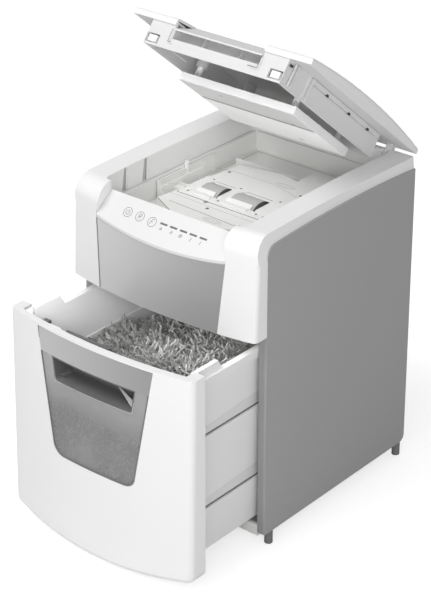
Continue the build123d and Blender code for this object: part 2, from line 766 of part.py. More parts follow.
timing_rear_phase = 0.0
timing_front_phase = mesh_phase(cutter_rear, timing_teeth, timing_rear_phase, cutter_front, timing_teeth)
idler_phase = mesh_phase(cutter_rear, timing_teeth, timing_rear_phase, idler_axis, idler_teeth)
feed_phase = mesh_phase(idler_axis, idler_teeth, idler_phase, feed_axis, feed_teeth)
second_pinion_phase = mesh_phase(cutter_rear, drive_teeth, 0.0, second_axis, drive_pinion)
first_pinion_phase = mesh_phase(second_axis, second_teeth, 0.0, first_axis, second_pinion)
motor_phase = mesh_phase(first_axis, motor_teeth_driven, 0.0, motor_axis, motor_pinion_teeth)


def cutter_disc_face(turn):
    """Cutting disc with a small hook at each of its points."""
    points = []
    for k in range(cutter_hooks):
        a = turn + 2 * pi * k / cutter_hooks
        b = turn + 2 * pi * (k + 0.8) / cutter_hooks
        c = turn + 2 * pi * (k + 0.45) / cutter_hooks
        for r, t in ((cutter_radius, a), (cutter_radius - 0.6, c), (cutter_radius - hook_depth, b)):
            points.append((r * cos(t), r * sin(t)))
    return closed_face(points)


def make_cutter_shaft(centre, start, right_end, turn_step):
    y, z = centre
    core_end = plate_x - 1
    shaft = rod(cutter_core, -core_end, core_end, y, z)
    shaft += rod(cutter_journal, left_gears - 1, right_end, y, z)
    for i in range(cutter_count):
        x = start + i * cutter_pitch
        shaft += along_x(Pos(y, z) * cutter_disc_face(turn_step * i), x, x + cutter_disc)
    return shaft


def disc_start(offset):
    return -cutter_pitch * cutter_count / 2 + offset


def make_stripper_comb(side):
    """A bar with one finger between each two discs of its shaft."""
    y = cutter_y + side * cutter_spacing / 2
    offset = 0.0 if side < 0 else cutter_pitch / 2
    deep, tall = comb_bar
    bar_in = cutter_radius + comb_room
    low, high = sorted((y + side * bar_in, y + side * (bar_in + deep)))
    comb = block(-plate_x, plate_x, low, high, cutter_z - tall / 2, cutter_z + tall / 2)
    tip = y + side * (cutter_core + comb_tip_gap)
    f_low, f_high = sorted((tip, y + side * (bar_in + deep / 4)))
    for i in range(cutter_count - 1):
        x = disc_start(offset) + i * cutter_pitch + cutter_disc
        comb += block(x + comb_side_gap, x + cutter_pitch - cutter_disc - comb_side_gap, f_low, f_high,
                      cutter_z - comb_finger / 2, cutter_z + comb_finger / 2)
    return comb


def end_plate_face(rear):
    f = cutter_front_y - cutter_radius - 16
    return closed_face([(f, plate_low), (rear, plate_low), (rear, plate_high),
                        (f + 30, plate_high), (f, plate_high - 16)])


def make_end_plate(side):
    rear = motor_axis[0] + motor_radius + 6 if side > 0 else idler_axis[0] + 26
    x = plate_x if side > 0 else -plate_x - plate_thick
    plate = along_x(end_plate_face(rear), x, x + plate_thick)
    plate += foot_tab(side, rear)
    for centre in (cutter_front, cutter_rear):
        plate -= rod(cutter_journal + bush_wall, x - 1, x + plate_thick + 1, *centre)
    if side > 0:
        plate -= rod(motor_shaft_radius + 4, x - 1, x + plate_thick + 1, *motor_axis)
    return plate


def foot_tab(side, rear):
    """The flange that stands the end plate on the deck."""
    f = cutter_front_y - cutter_radius - 16
    x0, x1 = sorted((side * plate_x, side * (plate_x + plate_thick)))
    web = block(x0, x1, f, rear, deck_z + deck_sheet, plate_low)
    low, high = deck_slot
    gap = block(x0 - 1, x1 + 1, low + 4, high - 4, deck_z + deck_sheet + 1.5, plate_low - 1)
    return web - gap


bush_wall = 2.0


def make_bushes():
    """Plain bearings of the two cutter shafts, in the end plates."""
    outer, inner = cutter_journal + bush_wall, cutter_journal + running
    return group(tube(outer, inner, x, x + plate_thick, *centre)
                 for x in (-plate_x - plate_thick, plate_x) for centre in (cutter_front, cutter_rear))


def make_tie_bars():
    front = cutter_front_y - cutter_radius - 9
    rear = cutter_rear_y + cutter_radius + 14
    places = ((front, plate_low + 8), (front + 2, cutter_z + 13), (rear, plate_low + 7))
    return group(rod(3.0, -plate_x, plate_x, y, z) for y, z in places)


def make_cutter_gear_front():
    return gear(timing_teeth, timing_module, left_gears, cutter_front, timing_front_phase, cutter_journal)


def make_cutter_gear_rear():
    return gear(timing_teeth, timing_module, left_gears, cutter_rear, timing_rear_phase, cutter_journal)


def make_cutter_drive_gear():
    return gear(drive_teeth, drive_module, layer[2], cutter_rear, 0.0, cutter_journal)


def make_second_gear():
    bore = arbor_radius + running
    wheel = gear(second_teeth, second_module, layer[1], second_axis, 0.0, bore)
    pinion = gear(drive_pinion, drive_module, layer[2], second_axis, second_pinion_phase, bore)
    hub = tube(arbor_radius + hub_wall, bore, layer[1] + gear_width, layer[2], *second_axis)
    return wheel + pinion + hub


def make_first_gear():
    bore = arbor_radius + running
    wheel = gear(motor_teeth_driven, motor_module, layer[0], first_axis, 0.0, bore)
    pinion = gear(second_pinion, second_module, layer[1], first_axis, first_pinion_phase, bore)
    hub = tube(arbor_radius + hub_wall, bore, layer[0] + gear_width, layer[1], *first_axis)
    return wheel + pinion + hub


def make_idler_gear():
    return gear(idler_teeth, timing_module, left_gears, idler_axis, idler_phase, arbor_radius + running)


def make_feed_gear():
    return gear(feed_teeth, timing_module, left_gears, feed_axis, feed_phase, feed_shaft_radius)


def make_arbors():
    """Fixed pins that the reduction gears and the idler turn on, riveted to the end plates."""
    right_end = layer[2] + gear_width
    plate_face = plate_x + plate_thick
    pins = [rod(arbor_radius, plate_face, right_end, *axis) for axis in (first_axis, second_axis)]
    pins.append(rod(arbor_radius, left_gears, -plate_x - plate_thick, *idler_axis))
    return group(pins)


def make_motor():
    """Motor can with its terminals, screwed to the right end plate."""
    y, z = motor_axis
    can = rod(motor_radius, plate_x - motor_length, plate_x - 2, y, z)
    nose = tube(9.0, motor_shaft_radius + running, plate_x - 2, plate_x, y, z)
    can -= rod(motor_shaft_radius + running, plate_x - motor_length + 9, plate_x, y, z)
    end = plate_x - motor_length
    return can + nose + block(end - 5, end, y - 8, y + 8, z - 3, z + 3)


def make_motor_pinion():
    """The motor's shaft with its pinion."""
    r = motor_shaft_radius
    shaft = rod(r, plate_x - motor_length + 9, layer[0] + gear_width, *motor_axis)
    return shaft + gear(motor_pinion_teeth, motor_module, layer[0], motor_axis, motor_phase, r)


def make_deck_plate():
    """Shelf over the bin that carries the cutting unit."""
    deck = block(-inner_half, inner_half, front_y + 2, back_y - skin, deck_z, deck_z + deck_sheet)
    slot = block(-plate_x + 4, plate_x - 4, *deck_slot, deck_z - 1, deck_z + deck_sheet + 1)
    return deck - slot


# ---------------------------------------------------------------- electrics
inlet_size = (28.0, 20.0)
inlet_x = 104.0
inlet_z = 52.0
inlet_wall = 2.0
inlet_deep = 21.0
rocker_size = (19.0, 13.0)
rocker_x = 62.0
rocker_tilt = 12.0
power_board_x = (-70.0, 30.0)
power_board_z = (45.0, 150.0)
power_board_thick = 1.6
power_rails = (-64.0, 18.0)
power_rail_width = 6.0
power_rail_inset = 5.0
power_blocks = ((-58.0, 60.0, 20.0, 28.0, 12.4), (-26.0, 70.0, 26.0, 26.0, 15.4))
power_capacitor = (8.0, 122.0, 9.0, 15.4)


def inlet_span():
    return inlet_x - inlet_size[0] / 2 - inlet_wall, inlet_x + inlet_size[0] / 2 + inlet_wall


def inlet_height():
    return inlet_z - inlet_size[1] / 2 - inlet_wall, inlet_z + inlet_size[1] / 2 + inlet_wall


def rocker_span():
    return rocker_x - rocker_size[0] / 2 - inlet_wall, rocker_x + rocker_size[0] / 2 + inlet_wall


def make_mains_inlet():
    """Appliance inlet: shrouded socket with three flat pins, open to the rear."""
    x0, x1 = inlet_span()
    z0, z1 = inlet_height()
    body = block(x0, x1, back_y - inlet_deep, back_y, z0, z1)
    body += block(x0 - 3, x1 + 3, back_y, back_y + 2, z0 - 3, z1 + 3)
    body -= block(x0 + inlet_wall, x1 - inlet_wall, back_y - inlet_deep + 4, back_y + 9,
                  z0 + inlet_wall, z1 - inlet_wall)
    for dx, dz in ((-7, -2), (7, -2), (0, 3.5)):
        body += block(inlet_x + dx - 1, inlet_x + dx + 1, back_y - inlet_deep + 3, back_y - 3,
                      inlet_z + dz - 2, inlet_z + dz + 2)
    return body


def make_rocker_housing():
    x0, x1 = rocker_span()
    z0, z1 = inlet_height()
    body = block(x0, x1, back_y - 15, back_y, z0, z1)
    body += block(x0 - 2, x1 + 2, back_y, back_y + 1.5, z0 - 2, z1 + 2)
    wall = inlet_wall
    body -= block(x0 + wall, x1 - wall, back_y - 12, back_y + 9, z0 + wall, z1 - wall)
    return body - rod(1.2, x0 - 0.5, x1 + 0.5, back_y - 4, inlet_z)


def make_power_rocker():
    """Rocker pressed on one side, turning on a pin across its housing."""
    x0, x1 = rocker_span()
    w = (x1 - x0) / 2 - inlet_wall - flat_gap
    h = inlet_size[1] / 2 - flat_gap - 0.6
    y = back_y - 4
    cap = closed_face([(y - 3, -h * 0.6), (y - 3, h * 0.6), (y + 5.5, h * 0.86), (y + 3.6, 0),
                       (y + 5.5, -h * 0.86)])
    rocker = along_x(Pos(0, inlet_z) * cap, rocker_x - w, rocker_x + w)
    rocker += rod(1.15, x0 + 0.2, x1 - 0.2, y, inlet_z)
    return Pos(0, y, inlet_z) * Rot(-rocker_tilt / 2, 0, 0) * Pos(0, -y, -inlet_z) * rocker


def make_power_board():
    """Power board on two rails of the rear panel, with its capacitor, coil and relay."""
    y = back_y - skin - 4
    x0, x1 = power_board_x
    z0, z1 = power_board_z
    front = y - power_board_thick
    board = block(x0, x1, front, y, z0, z1)
    for x in power_rails:
        board += block(x, x + power_rail_width, y, back_y - skin,
                       z0 + power_rail_inset, z1 - power_rail_inset)
    for x, z, width, height, deep in power_blocks:
        board += block(x, x + width, front - deep, front, z, z + height)
    x, z, radius, deep = power_capacitor
    board += Pos(x, front - deep / 2, z) * Rot(90, 0, 0) * Cylinder(radius, deep + 0.02)
    return board


def make_bin_switch():
    """Small switch on the rear wall that the bucket's back presses when the bin is home."""
    x, z, width, height = bin_switch
    front = back_y - skin - bin_switch_deep
    body = block(x, x + width, front, back_y - skin, z, z + height)
    button_x, button_z, button_width, button_height, button_out = bin_switch_button
    return body + block(x + button_x, x + button_x + button_width, front - button_out, front,
                        z + button_z, z + button_z + button_height)


# ---------------------------------------------------------------- bin
def make_bin_runner(side):
    x0, x1 = bucket_half + 0.8, inner_half
    top = bucket_rim - bucket_flange - flat_gap
    rail = block(x0, x1, front_y + 6, back_y - skin, top - 3, top)
    rail += block(x1 - 2, x1, front_y + 6, back_y - skin, top - runner_height, top)
    return rail if side > 0 else mirror(rail, Plane.YZ)


def bucket_outline(inset):
    """Half section of the bucket's stepped wall, drawn as (x, z) and mirrored."""
    right = [(bucket_half - inset, bucket_rim)]
    levels = [bucket_rim, *bucket_ribs, bucket_low]
    for upper, lower in zip(levels, levels[1:]):
        right.append((bucket_half - bucket_draft - inset, lower + 0.01))
        if lower != bucket_low:
            right.append((bucket_half - inset, lower))
    left = [(-x, z) for x, z in reversed(right)]
    return closed_face(right + left)


def make_bin_bucket():
    tub = along_y(bucket_outline(0), bucket_front, bucket_back)
    lift = bucket_rim_front - bucket_rim
    wing = closed_face([(bucket_front, bucket_rim), (bucket_front, bucket_rim_front),
                        (bucket_front + bucket_rim_front_length, bucket_rim_front),
                        (bucket_front + bucket_rim_front_length + lift * 0.6, bucket_rim)])
    tub += along_x(wing, -bucket_half, bucket_half)
    top = bucket_rim
    reach = bucket_half + bucket_flange_reach
    tub += block(-reach, reach, bucket_front + 2, bucket_back, top - bucket_flange, top)
    inner = bucket_half - bucket_draft - bucket_wall
    tub -= block(-inner, inner, bucket_front + bucket_wall, bucket_back - bucket_wall,
                 bucket_low + bucket_wall, bucket_rim_front + 9)
    front = (bucket_front - 9, bucket_front + bucket_wall + 1)
    tub -= along_y(window_face(6.0, bucket_notch), *front)
    tub -= block(-inner, inner, *front, bucket_notch, bin_top)
    step_z, step = bucket_step
    for sx in (-1, 1):
        x0, x1 = sorted((sx * inner, sx * (inner - step)))
        tub += block(x0, x1, bucket_front + 1, bucket_back - 1, bucket_ribs[0], step_z)
    return tub


def window_face(inset, top):
    """The window's tapering outline with rounded lower corners, drawn as (x, z)."""
    run = bin_top - window_rim - window_low
    def half_at(z):
        return window_bottom_half + (window_top_half - window_bottom_half) * (z - window_low) / run - inset
    low = window_low + inset
    wide_low, wide_top = half_at(low), half_at(top)
    face = closed_face([(-wide_low, low), (wide_low, low), (wide_top, top), (-wide_top, top)])
    corners = face.vertices().sort_by(Axis.Y)[:2]
    return fillet(corners, window_round - inset / 2)


def bin_front_block(inset):
    """The bowed front's block, set back by inset."""
    body = bowed_block(inset, bin_lean, bin_top, bin_bottom - 9, bin_top + 9)
    return body & block(-half - 9, half + 9, bow_y - 60, bin_rear + 9, bin_bottom - 9, bin_top + 9)


def make_bin_front():
    """Thick bowed front: skin with side, top and bottom returns, open behind, and the window opening."""
    body = bin_front_block(0) & along_y(bin_front_face(0), bow_y - 40, bin_rear)
    foot = bin_bottom + bin_smile + bin_corner
    edges = body.edges().filter_by(lambda e: e.center().Y < front_y - 9)
    outline = edges.filter_by(lambda e: e.center().Z < foot
                              or (e.length > foot and e.center().Z < bin_top - foot))
    body = fillet(outline, bin_edge_round)
    hollow = bin_front_block(bin_sheet) & along_y(bin_front_face(bin_sheet), bow_y - 40, bin_rear + 1)
    body -= hollow
    behind_lip = bowed_block(lip_width, bin_lean, bin_top, bin_top - bin_sheet - 9, bin_top + 9)
    body -= behind_lip & block(-half + arm_width, half - arm_width, bow_y - 9, bin_rear + 9,
                               bin_top - bin_sheet - 1, bin_top + 1)
    return body - along_y(window_face(0, bin_top - window_rim), bow_y - 40, front_y - 9)


def bin_front_face(inset):
    """The front seen from the front: straight top and sides, lower edge sagging to its middle."""
    h, top, low = half - inset, bin_top - inset, bin_bottom + inset
    side_low = low + bin_smile
    r = bin_corner
    bend_x, bend_z = h - r * (1 - cos(pi / 4)), side_low + r * (1 - sin(pi / 4))
    edge = Curve() + [Polyline((-h, side_low + r), (-h, top), (h, top), (h, side_low + r)),
                      ThreePointArc((h, side_low + r), (bend_x, bend_z), (h - r, side_low)),
                      ThreePointArc((h - r, side_low), (0, low), (-h + r, side_low)),
                      ThreePointArc((-h + r, side_low), (-bend_x, bend_z), (-h, side_low + r))]
    return make_face(edge)


def window_plate(low, high):
    sheet = bowed_block(window_inset, bin_lean, bin_top, bin_bottom - 9, bin_top + 9)
    sheet -= bowed_block(window_inset + window_sheet, bin_lean, bin_top, bin_bottom - 19, bin_top + 19)
    sheet &= along_y(window_face(0.15, bin_top - window_rim - 0.15), bow_y - 40, front_y - 2)
    return sheet & block(-half, half, bow_y - 60, front_y, low, high)


def make_bin_band():
    return window_plate(band_low, bin_top)


def make_bin_window():
    plate = window_plate(0, band_low)
    return plate - along_y(grip_mouth(0), bow_y - 40, front_y - 2)


def grip_mouth(inset):
    low, high = grip_low + inset, band_low - inset
    wide, narrow = grip_top_half - inset, grip_bottom_half - inset
    face = closed_face([(-narrow, low), (narrow, low), (wide, high), (-wide, high)])
    return fillet(face.vertices().sort_by(Axis.Y)[:2], grip_round - inset)


def make_bin_grip():
    """Pocket behind the window that the hand pulls the bin by."""
    y0 = bow_y + window_inset + 8
    outer = along_y(grip_mouth(0.2), bow_y - 40, y0 + grip_depth)
    outer &= bowed_block(window_inset + 0.4, bin_lean, bin_top, 0, bin_top)
    return outer - along_y(grip_mouth(0.2 + grip_sheet), bow_y - 41, y0 + grip_depth - grip_sheet)


def make_shredded_paper():
    """The heap of shreds in the bucket, higher at the right, drawn as a crust open below."""
    reach = bucket_half - bucket_draft - bucket_wall - bucket_step[1] - shred_gap
    y0 = bucket_front + bucket_wall + shred_gap
    y1 = bucket_back - bucket_wall - shred_gap
    z0 = bucket_low + bucket_wall + shred_gap
    left, middle, right = [bin_top - drop for drop in shred_drops]
    crust = shred_crust
    heap = along_y(closed_face([(-reach, z0), (reach, z0), (reach, right), (0, middle), (-reach, left)]),
                   y0, y1)
    under = [(-reach + crust, z0 - 1), (reach - crust, z0 - 1), (reach - crust, right - 1.3 * crust),
             (0, middle - crust), (-reach + crust, left - 0.7 * crust)]
    return heap - along_y(closed_face(under), y0 + crust, y1 - crust)


def make_bin_clips():
    """Clips that hook the bin's front over the bucket's front wall."""
    w, t, h = clip_size
    clips = []
    for x in clip_places:
        rear = bucket_front + bucket_wall + flat_gap
        hook = block(x - w / 2, x + w / 2, bow_y, rear + t, bucket_notch, bucket_notch + t)
        hook += block(x - w / 2, x + w / 2, rear, rear + t, bucket_notch - h, bucket_notch)
        clips.append(hook & bowed_block(bin_sheet, bin_lean, bin_top, bin_bottom, bin_top))
    return group(clips)


# ---------------------------------------------------------------- lid
def lid_side_face(lower, front, rear, bottom):
    """The lid's side outline with its crowned top let down by lower, drawn as (y, z)."""
    edge = lid_under + lid_front_edge - lower
    top = lid_under + lid_crown - lower
    middle = (lid_front_y + lid_rear_y) / 2
    return make_face(Curve() + [ThreePointArc((front, edge), (middle, top), (rear, edge)),
                                Polyline((rear, edge), (rear, bottom), (front, bottom), (front, edge))])


def make_lid_cover():
    body = along_x(lid_side_face(0, lid_front_y, lid_rear_y, lid_under), -lid_half, lid_half)
    upper = body.edges().filter_by(lambda e: e.center().Z > lid_under + 5)
    body = fillet(upper, lid_edge_round)
    hollow = lid_side_face(lid_sheet, lid_front_y + lid_sheet, lid_rear_y - lid_sheet, lid_under - 1)
    body -= along_x(hollow, -lid_half + lid_sheet, lid_half - lid_sheet)
    notch = block(-lid_grip_half, lid_grip_half, lid_front_y - 1, lid_front_y + lid_scoop,
                  lid_under - 1, lid_under + lid_crown + 9)
    return body - notch


def crown_height(y):
    """Height of the lid's crowned top at y."""
    middle = (lid_front_y + lid_rear_y) / 2
    chord = (lid_rear_y - lid_front_y) / 2
    rise = lid_crown - lid_front_edge
    radius = (chord ** 2 + rise ** 2) / (2 * rise)
    return lid_under + lid_crown - radius + sqrt(radius ** 2 - (y - middle) ** 2)


def make_lid_frame():
    """Inner frame: flange under the cover's rim, skirt walls, ceiling, guide bosses and hinge arms."""
    flange_low, flange_high = lid_under + 0.2, lid_under + lid_sheet
    in_x = lid_half - lid_sheet - flat_gap
    frame = block(-in_x, in_x, lid_front_y + lid_sheet + flat_gap, lid_rear_y - lid_sheet - flat_gap,
                  flange_low, flange_high)
    frame -= block(-skirt_half, skirt_half, skirt_front_y, skirt_rear_y, flange_low - 1, flange_high + 1)
    low = lid_under - skirt_depth
    skirt = block(-skirt_half, skirt_half, skirt_front_y, skirt_rear_y, low, flange_high + 2)
    skirt -= block(-skirt_half + skirt_sheet, skirt_half - skirt_sheet, skirt_front_y + skirt_sheet,
                   skirt_rear_y - skirt_sheet, low - 1, flange_high)
    frame += skirt
    frame += both_sides(group(skirt_ribs()))
    frame -= latch_windows()
    frame -= block(-lid_grip_half, lid_grip_half, skirt_front_y - 9, skirt_front_y + lid_grip_depth,
                   lid_grip_low, flange_high + 9)
    frame -= block(-lid_grip_half, lid_grip_half, skirt_front_y - 9, lid_front_y + lid_scoop,
                   lid_grip_high - 3, flange_high + 9)
    frame += group(guide_bosses())
    frame -= group(guide_bores())
    frame += both_sides(hinge_arm())
    frame += make_latch_guide(-1) + make_latch_guide(1)
    frame -= both_sides(rod(hinge_pin_radius + running, knuckle_x - 20, knuckle_x + 20, hinge_y, hinge_z))
    return frame


def skirt_ribs():
    """Upright ribs on the outside of the skirt's side walls."""
    low = lid_under - skirt_depth
    for y in (skirt_front_y + 12, skirt_front_y + 52):
        yield block(skirt_half, skirt_half + 2.2, y, y + 3, low + 3, lid_under + 1)
    yield block(skirt_half, skirt_half + 1.2, skirt_front_y + 60, skirt_rear_y - 14, low + 1, lid_under - 8)


def latch_windows():
    w, h = latch_window
    cut = block(latch_x - w / 2, latch_x + w / 2, skirt_front_y - 9, skirt_front_y + skirt_sheet + 1,
                latch_low, latch_low + h)
    return both_sides(cut)


def post_places():
    for x in (-post_x, post_x):
        for y in (presser_front + post_ends, presser_rear - post_ends):
            yield x, y


def guide_bosses():
    outer = post_radius + post_play + boss_wall
    for x, y in post_places():
        yield post(outer, x, y, boss_low, boss_high + 1.5)


def guide_bores():
    for x, y in post_places():
        yield post(post_radius + post_play, x, y, boss_low - 1, boss_high)


def hinge_arm():
    """Knuckle round the hinge pin, with the arm up to the flange."""
    x0, x1 = knuckle_x - knuckle_width / 2, knuckle_x + knuckle_width / 2
    knuckle = rod(knuckle_radius, x0, x1, hinge_y, hinge_z)
    arm = block(x0, x1, hinge_y - knuckle_radius, hinge_y + knuckle_radius - 5, hinge_z, lid_under + 1)
    return knuckle + arm


def make_lid_grip():
    """Insert in the lid's front edge: scoop plate for the thumb over a pocket for the fingers."""
    y0, y1 = lid_front_y, lid_front_y + lid_scoop
    z1 = crown_height(y1) - 0.3
    w = lid_grip_half
    under_plate = closed_face([(y0, 0), (y0, lid_grip_high), (y1, z1), (y1, 0)])
    plate = along_x(under_plate, -w, w) - along_x(under_plate.moved(Pos(0, -2.2)), -w - 1, w + 1)
    plate &= block(-w, w, y0, y1, lid_grip_high - 3, z1 + 1)
    depth = skirt_front_y + lid_grip_depth
    pocket = block(-w, w, skirt_front_y, depth, lid_grip_low, z1)
    pocket -= block(-w + 2, w - 2, skirt_front_y - 9, depth - 2, lid_grip_low + 2, z1 + 9)
    return plate + (pocket & along_x(under_plate, -w, w))


def make_latch_tongue(side):
    """Sprung tongue in the lid's latch window, on its guide block behind the skirt."""
    w, h = latch_tongue
    cz = latch_low + latch_window[1] / 2
    x = side * latch_x
    y0 = skirt_front_y + skirt_sheet
    tongue = block(x - w / 2, x + w / 2, skirt_front_y + 0.5, y0 + 5, cz - h / 2, cz + h / 2)
    tongue += block(x - w / 2 + 2, x + w / 2 - 2, y0 + 5, y0 + 9, cz - 2, cz + 2)
    return tongue


def make_latch_guide(side):
    """Guide fixed behind the skirt that a latch tongue slides in."""
    w = latch_tongue[0] / 2 - 2 + 0.4
    cz = latch_low + latch_window[1] / 2
    x = side * latch_x
    y0 = skirt_front_y + skirt_sheet
    y_in = y0 + 5 + latch_travel + flat_gap
    outer = block(x - w - 2, x + w + 2, y_in, y_in + 9, cz - 4.4, cz + 4.4)
    outer -= block(x - w, x + w, y_in - 1, y_in + 7, cz - 2.4, cz + 2.4)
    hanger = block(x - w - 2, x + w + 2, y_in + 5, y_in + 9, cz + 4.4, lid_under + lid_sheet)
    return outer + hanger


def make_presser_plate():
    """Plate that presses the stack on the rollers, with its four guide posts."""
    plate = block(-presser_half, presser_half, presser_front, presser_rear,
                  presser_low, presser_low + presser_thick)
    plate = fillet(plate.edges().filter_by(Axis.X).group_by(Axis.Z)[0], 2.5)
    plate -= block(-presser_half + 3, presser_half - 3, presser_front + 3, presser_rear - 3,
                   presser_low + 3, presser_low + presser_thick + 1)
    for x, y in post_places():
        plate += post(post_radius, x, y, presser_low + 1, post_top)
    plate -= block(-presser_half - 1, presser_half + 1, presser_front + 46, presser_front + 48.5,
                   presser_low - 1, presser_low + 1.5)
    return plate


def make_presser_springs():
    """A coil spring in each guide boss, between the post's end and the boss's ceiling."""
    low, high = post_top + spring_wire, boss_high - spring_wire
    path = Helix(pitch=(high - low) / spring_turns, height=high - low, radius=spring_radius)
    section = Plane(path @ 0, z_dir=path % 0) * Circle(spring_wire - 0.05)
    coil = sweep(section, path=path)
    return group(Pos(x, y, low) * coil for x, y in post_places())


def make_lid_plunger():
    """Post in the side block that the closed lid pushes down, to tell that it is shut."""
    return post(plunger_radius, plunger_x(), plunger_y(), tray_floor + 9, plunger_top)


def screw(x, y, z, turn):
    """A pan-head screw with its head at the place and its shank into the piece."""
    r, h = screw_head
    sr, sl = screw_shank
    shape = Pos(0, 0, h / 2) * Cylinder(r, h) + Pos(0, 0, -sl / 2) * Cylinder(sr, sl)
    shape -= Pos(0, 0, h) * Box(2 * r * 0.8, 0.9, 1.4) + Pos(0, 0, h) * Box(0.9, 2 * r * 0.8, 1.4)
    return Pos(x, y, z) * turn * shape


screw_places = [(sx * (half - skin - side_wall / 2), z) for sx in (-1, 1) for z in screw_heights]


def make_rear_screws():
    return group(screw(x, back_y, z, Rot(-90, 0, 0)) for x, z in screw_places)


def screw_bores(radius):
    """The holes that the rear screws pass through or bite into."""
    y0 = back_y - screw_shank[1]
    return group(along_y(Pos(x, z) * Circle(radius), y0, back_y + 1) for x, z in screw_places)


# ---------------------------------------------------------------- rest pose and export
hinge_axis = Axis((0, hinge_y, hinge_z), (-1, 0, 0))


def drawn_out(shape):
    return Pos(0, -bin_travel, 0) * shape


def lid_raised(shape):
    return shape.rotate(hinge_axis, lid_open)


fixed = {
    "base_tray": make_base_tray(),
    "feet": make_feet(),
    "side_panel_left": make_side_panel(-1),
    "side_panel_right": make_side_panel(1),
    "side_frame_left": make_side_frame(-1),
    "side_frame_right": make_side_frame(1),
    "rear_panel": make_rear_panel(),
    "rear_screws": make_rear_screws(),
    "top_frame": make_top_frame(),
    "front_panel": make_front_panel(),
    "control_panel": make_control_panel(),
    "indicator_lenses": make_indicator_lenses(),
    "control_board": make_control_board(),
    "feed_tray": make_feed_tray(),
    "roller_bridge": make_roller_bridge(),
    "paper_throat": make_paper_throat(),
    "lid_plunger": make_lid_plunger(),
    "lid_hinge_pins": make_hinge_pins(),
    "deck_plate": make_deck_plate(),
    "end_plate_left": make_end_plate(-1),
    "end_plate_right": make_end_plate(1),
    "cutter_bushes": make_bushes(),
    "tie_bars": make_tie_bars(),
    "gear_arbors": make_arbors(),
    "stripper_comb_front": make_stripper_comb(-1),
    "stripper_comb_rear": make_stripper_comb(1),
    "cutter_shaft_front": make_cutter_shaft(cutter_front, disc_start(0.0),
                                            plate_x + plate_thick + 1, hook_twist),
    "cutter_shaft_rear": make_cutter_shaft(cutter_rear, disc_start(cutter_pitch / 2),
                                           layer[2] + gear_width, -hook_twist),
    "cutter_gear_front": make_cutter_gear_front(),
    "cutter_gear_rear": make_cutter_gear_rear(),
    "cutter_drive_gear": make_cutter_drive_gear(),
    "second_gear": make_second_gear(),
    "first_gear": make_first_gear(),
    "motor": make_motor(),
    "motor_pinion": make_motor_pinion(),
    "idler_gear": make_idler_gear(),
    "feed_gear": make_feed_gear(),
    "feed_shaft": make_feed_shaft(),
    "feed_rollers": make_feed_rollers(),
    "mains_inlet": make_mains_inlet(),
    "rocker_housing": make_rocker_housing(),
    "power_rocker": make_power_rocker(),
    "power_board": make_power_board(),
    "bin_switch": make_bin_switch(),
    "bin_runner_left": make_bin_runner(-1),
    "bin_runner_right": make_bin_runner(1),
}
bin_group = {
    "bin_bucket": make_bin_bucket(),
    "bin_front": make_bin_front(),
    "bin_band": make_bin_band(),
    "bin_window": make_bin_window(),
    "bin_grip": make_bin_grip(),
    "bin_clips": make_bin_clips(),
    "shredded_paper": make_shredded_paper(),
}
lid_group = {
    "lid_cover": make_lid_cover(),
    "lid_frame": make_lid_frame(),
    "lid_grip": make_lid_grip(),
    "latch_tongue_left": make_latch_tongue(-1),
    "latch_tongue_right": make_latch_tongue(1),
    "presser_plate": make_presser_plate(),
    "presser_springs": make_presser_springs(),
}

os.makedirs("parts", exist_ok=True)
pieces = dict(fixed)
pieces.update((name, drawn_out(shape)) for name, shape in bin_group.items())
pieces.update((name, lid_raised(shape)) for name, shape in lid_group.items())
for name, shape in pieces.items():
    export_step(shape, f"parts/{name}.step")
    print(name, len(shape.solids()), "solid(s)")
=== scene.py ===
# %% [markdown]
# # A paper shredder with an automatic feed tray
#
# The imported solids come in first. They are the fixed frame of this lesson: every solid already
# sits where it belongs, in metres, and nothing below moves one. What this file adds is what the
# solids can't carry: finishes, light, paper shreds, printed marks and small moulded details.

# %% Load the solids
import json
import math

import bpy
import numpy as np
from mathutils import Matrix, Vector


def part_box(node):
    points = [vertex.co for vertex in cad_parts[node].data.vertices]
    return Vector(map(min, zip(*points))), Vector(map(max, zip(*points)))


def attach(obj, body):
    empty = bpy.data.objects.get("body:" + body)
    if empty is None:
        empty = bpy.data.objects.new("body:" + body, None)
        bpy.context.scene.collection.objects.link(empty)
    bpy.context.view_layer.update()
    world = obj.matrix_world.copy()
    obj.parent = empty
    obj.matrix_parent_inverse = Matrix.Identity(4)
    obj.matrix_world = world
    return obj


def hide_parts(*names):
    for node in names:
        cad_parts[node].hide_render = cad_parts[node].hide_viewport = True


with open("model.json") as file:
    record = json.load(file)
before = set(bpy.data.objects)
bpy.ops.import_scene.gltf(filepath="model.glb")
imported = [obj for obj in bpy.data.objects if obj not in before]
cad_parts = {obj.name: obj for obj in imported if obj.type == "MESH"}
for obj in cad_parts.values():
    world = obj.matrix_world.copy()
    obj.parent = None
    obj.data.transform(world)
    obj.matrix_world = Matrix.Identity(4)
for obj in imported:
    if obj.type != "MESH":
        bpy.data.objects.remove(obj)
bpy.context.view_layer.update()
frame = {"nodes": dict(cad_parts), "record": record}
solids = frame["nodes"]

# %% [markdown]
# ## The camera
#
# A long lens keeps the cabinet's upright edges nearly parallel. The camera stands in front, to the
# right and above, and its axes are written down as a matrix: right, up and back.

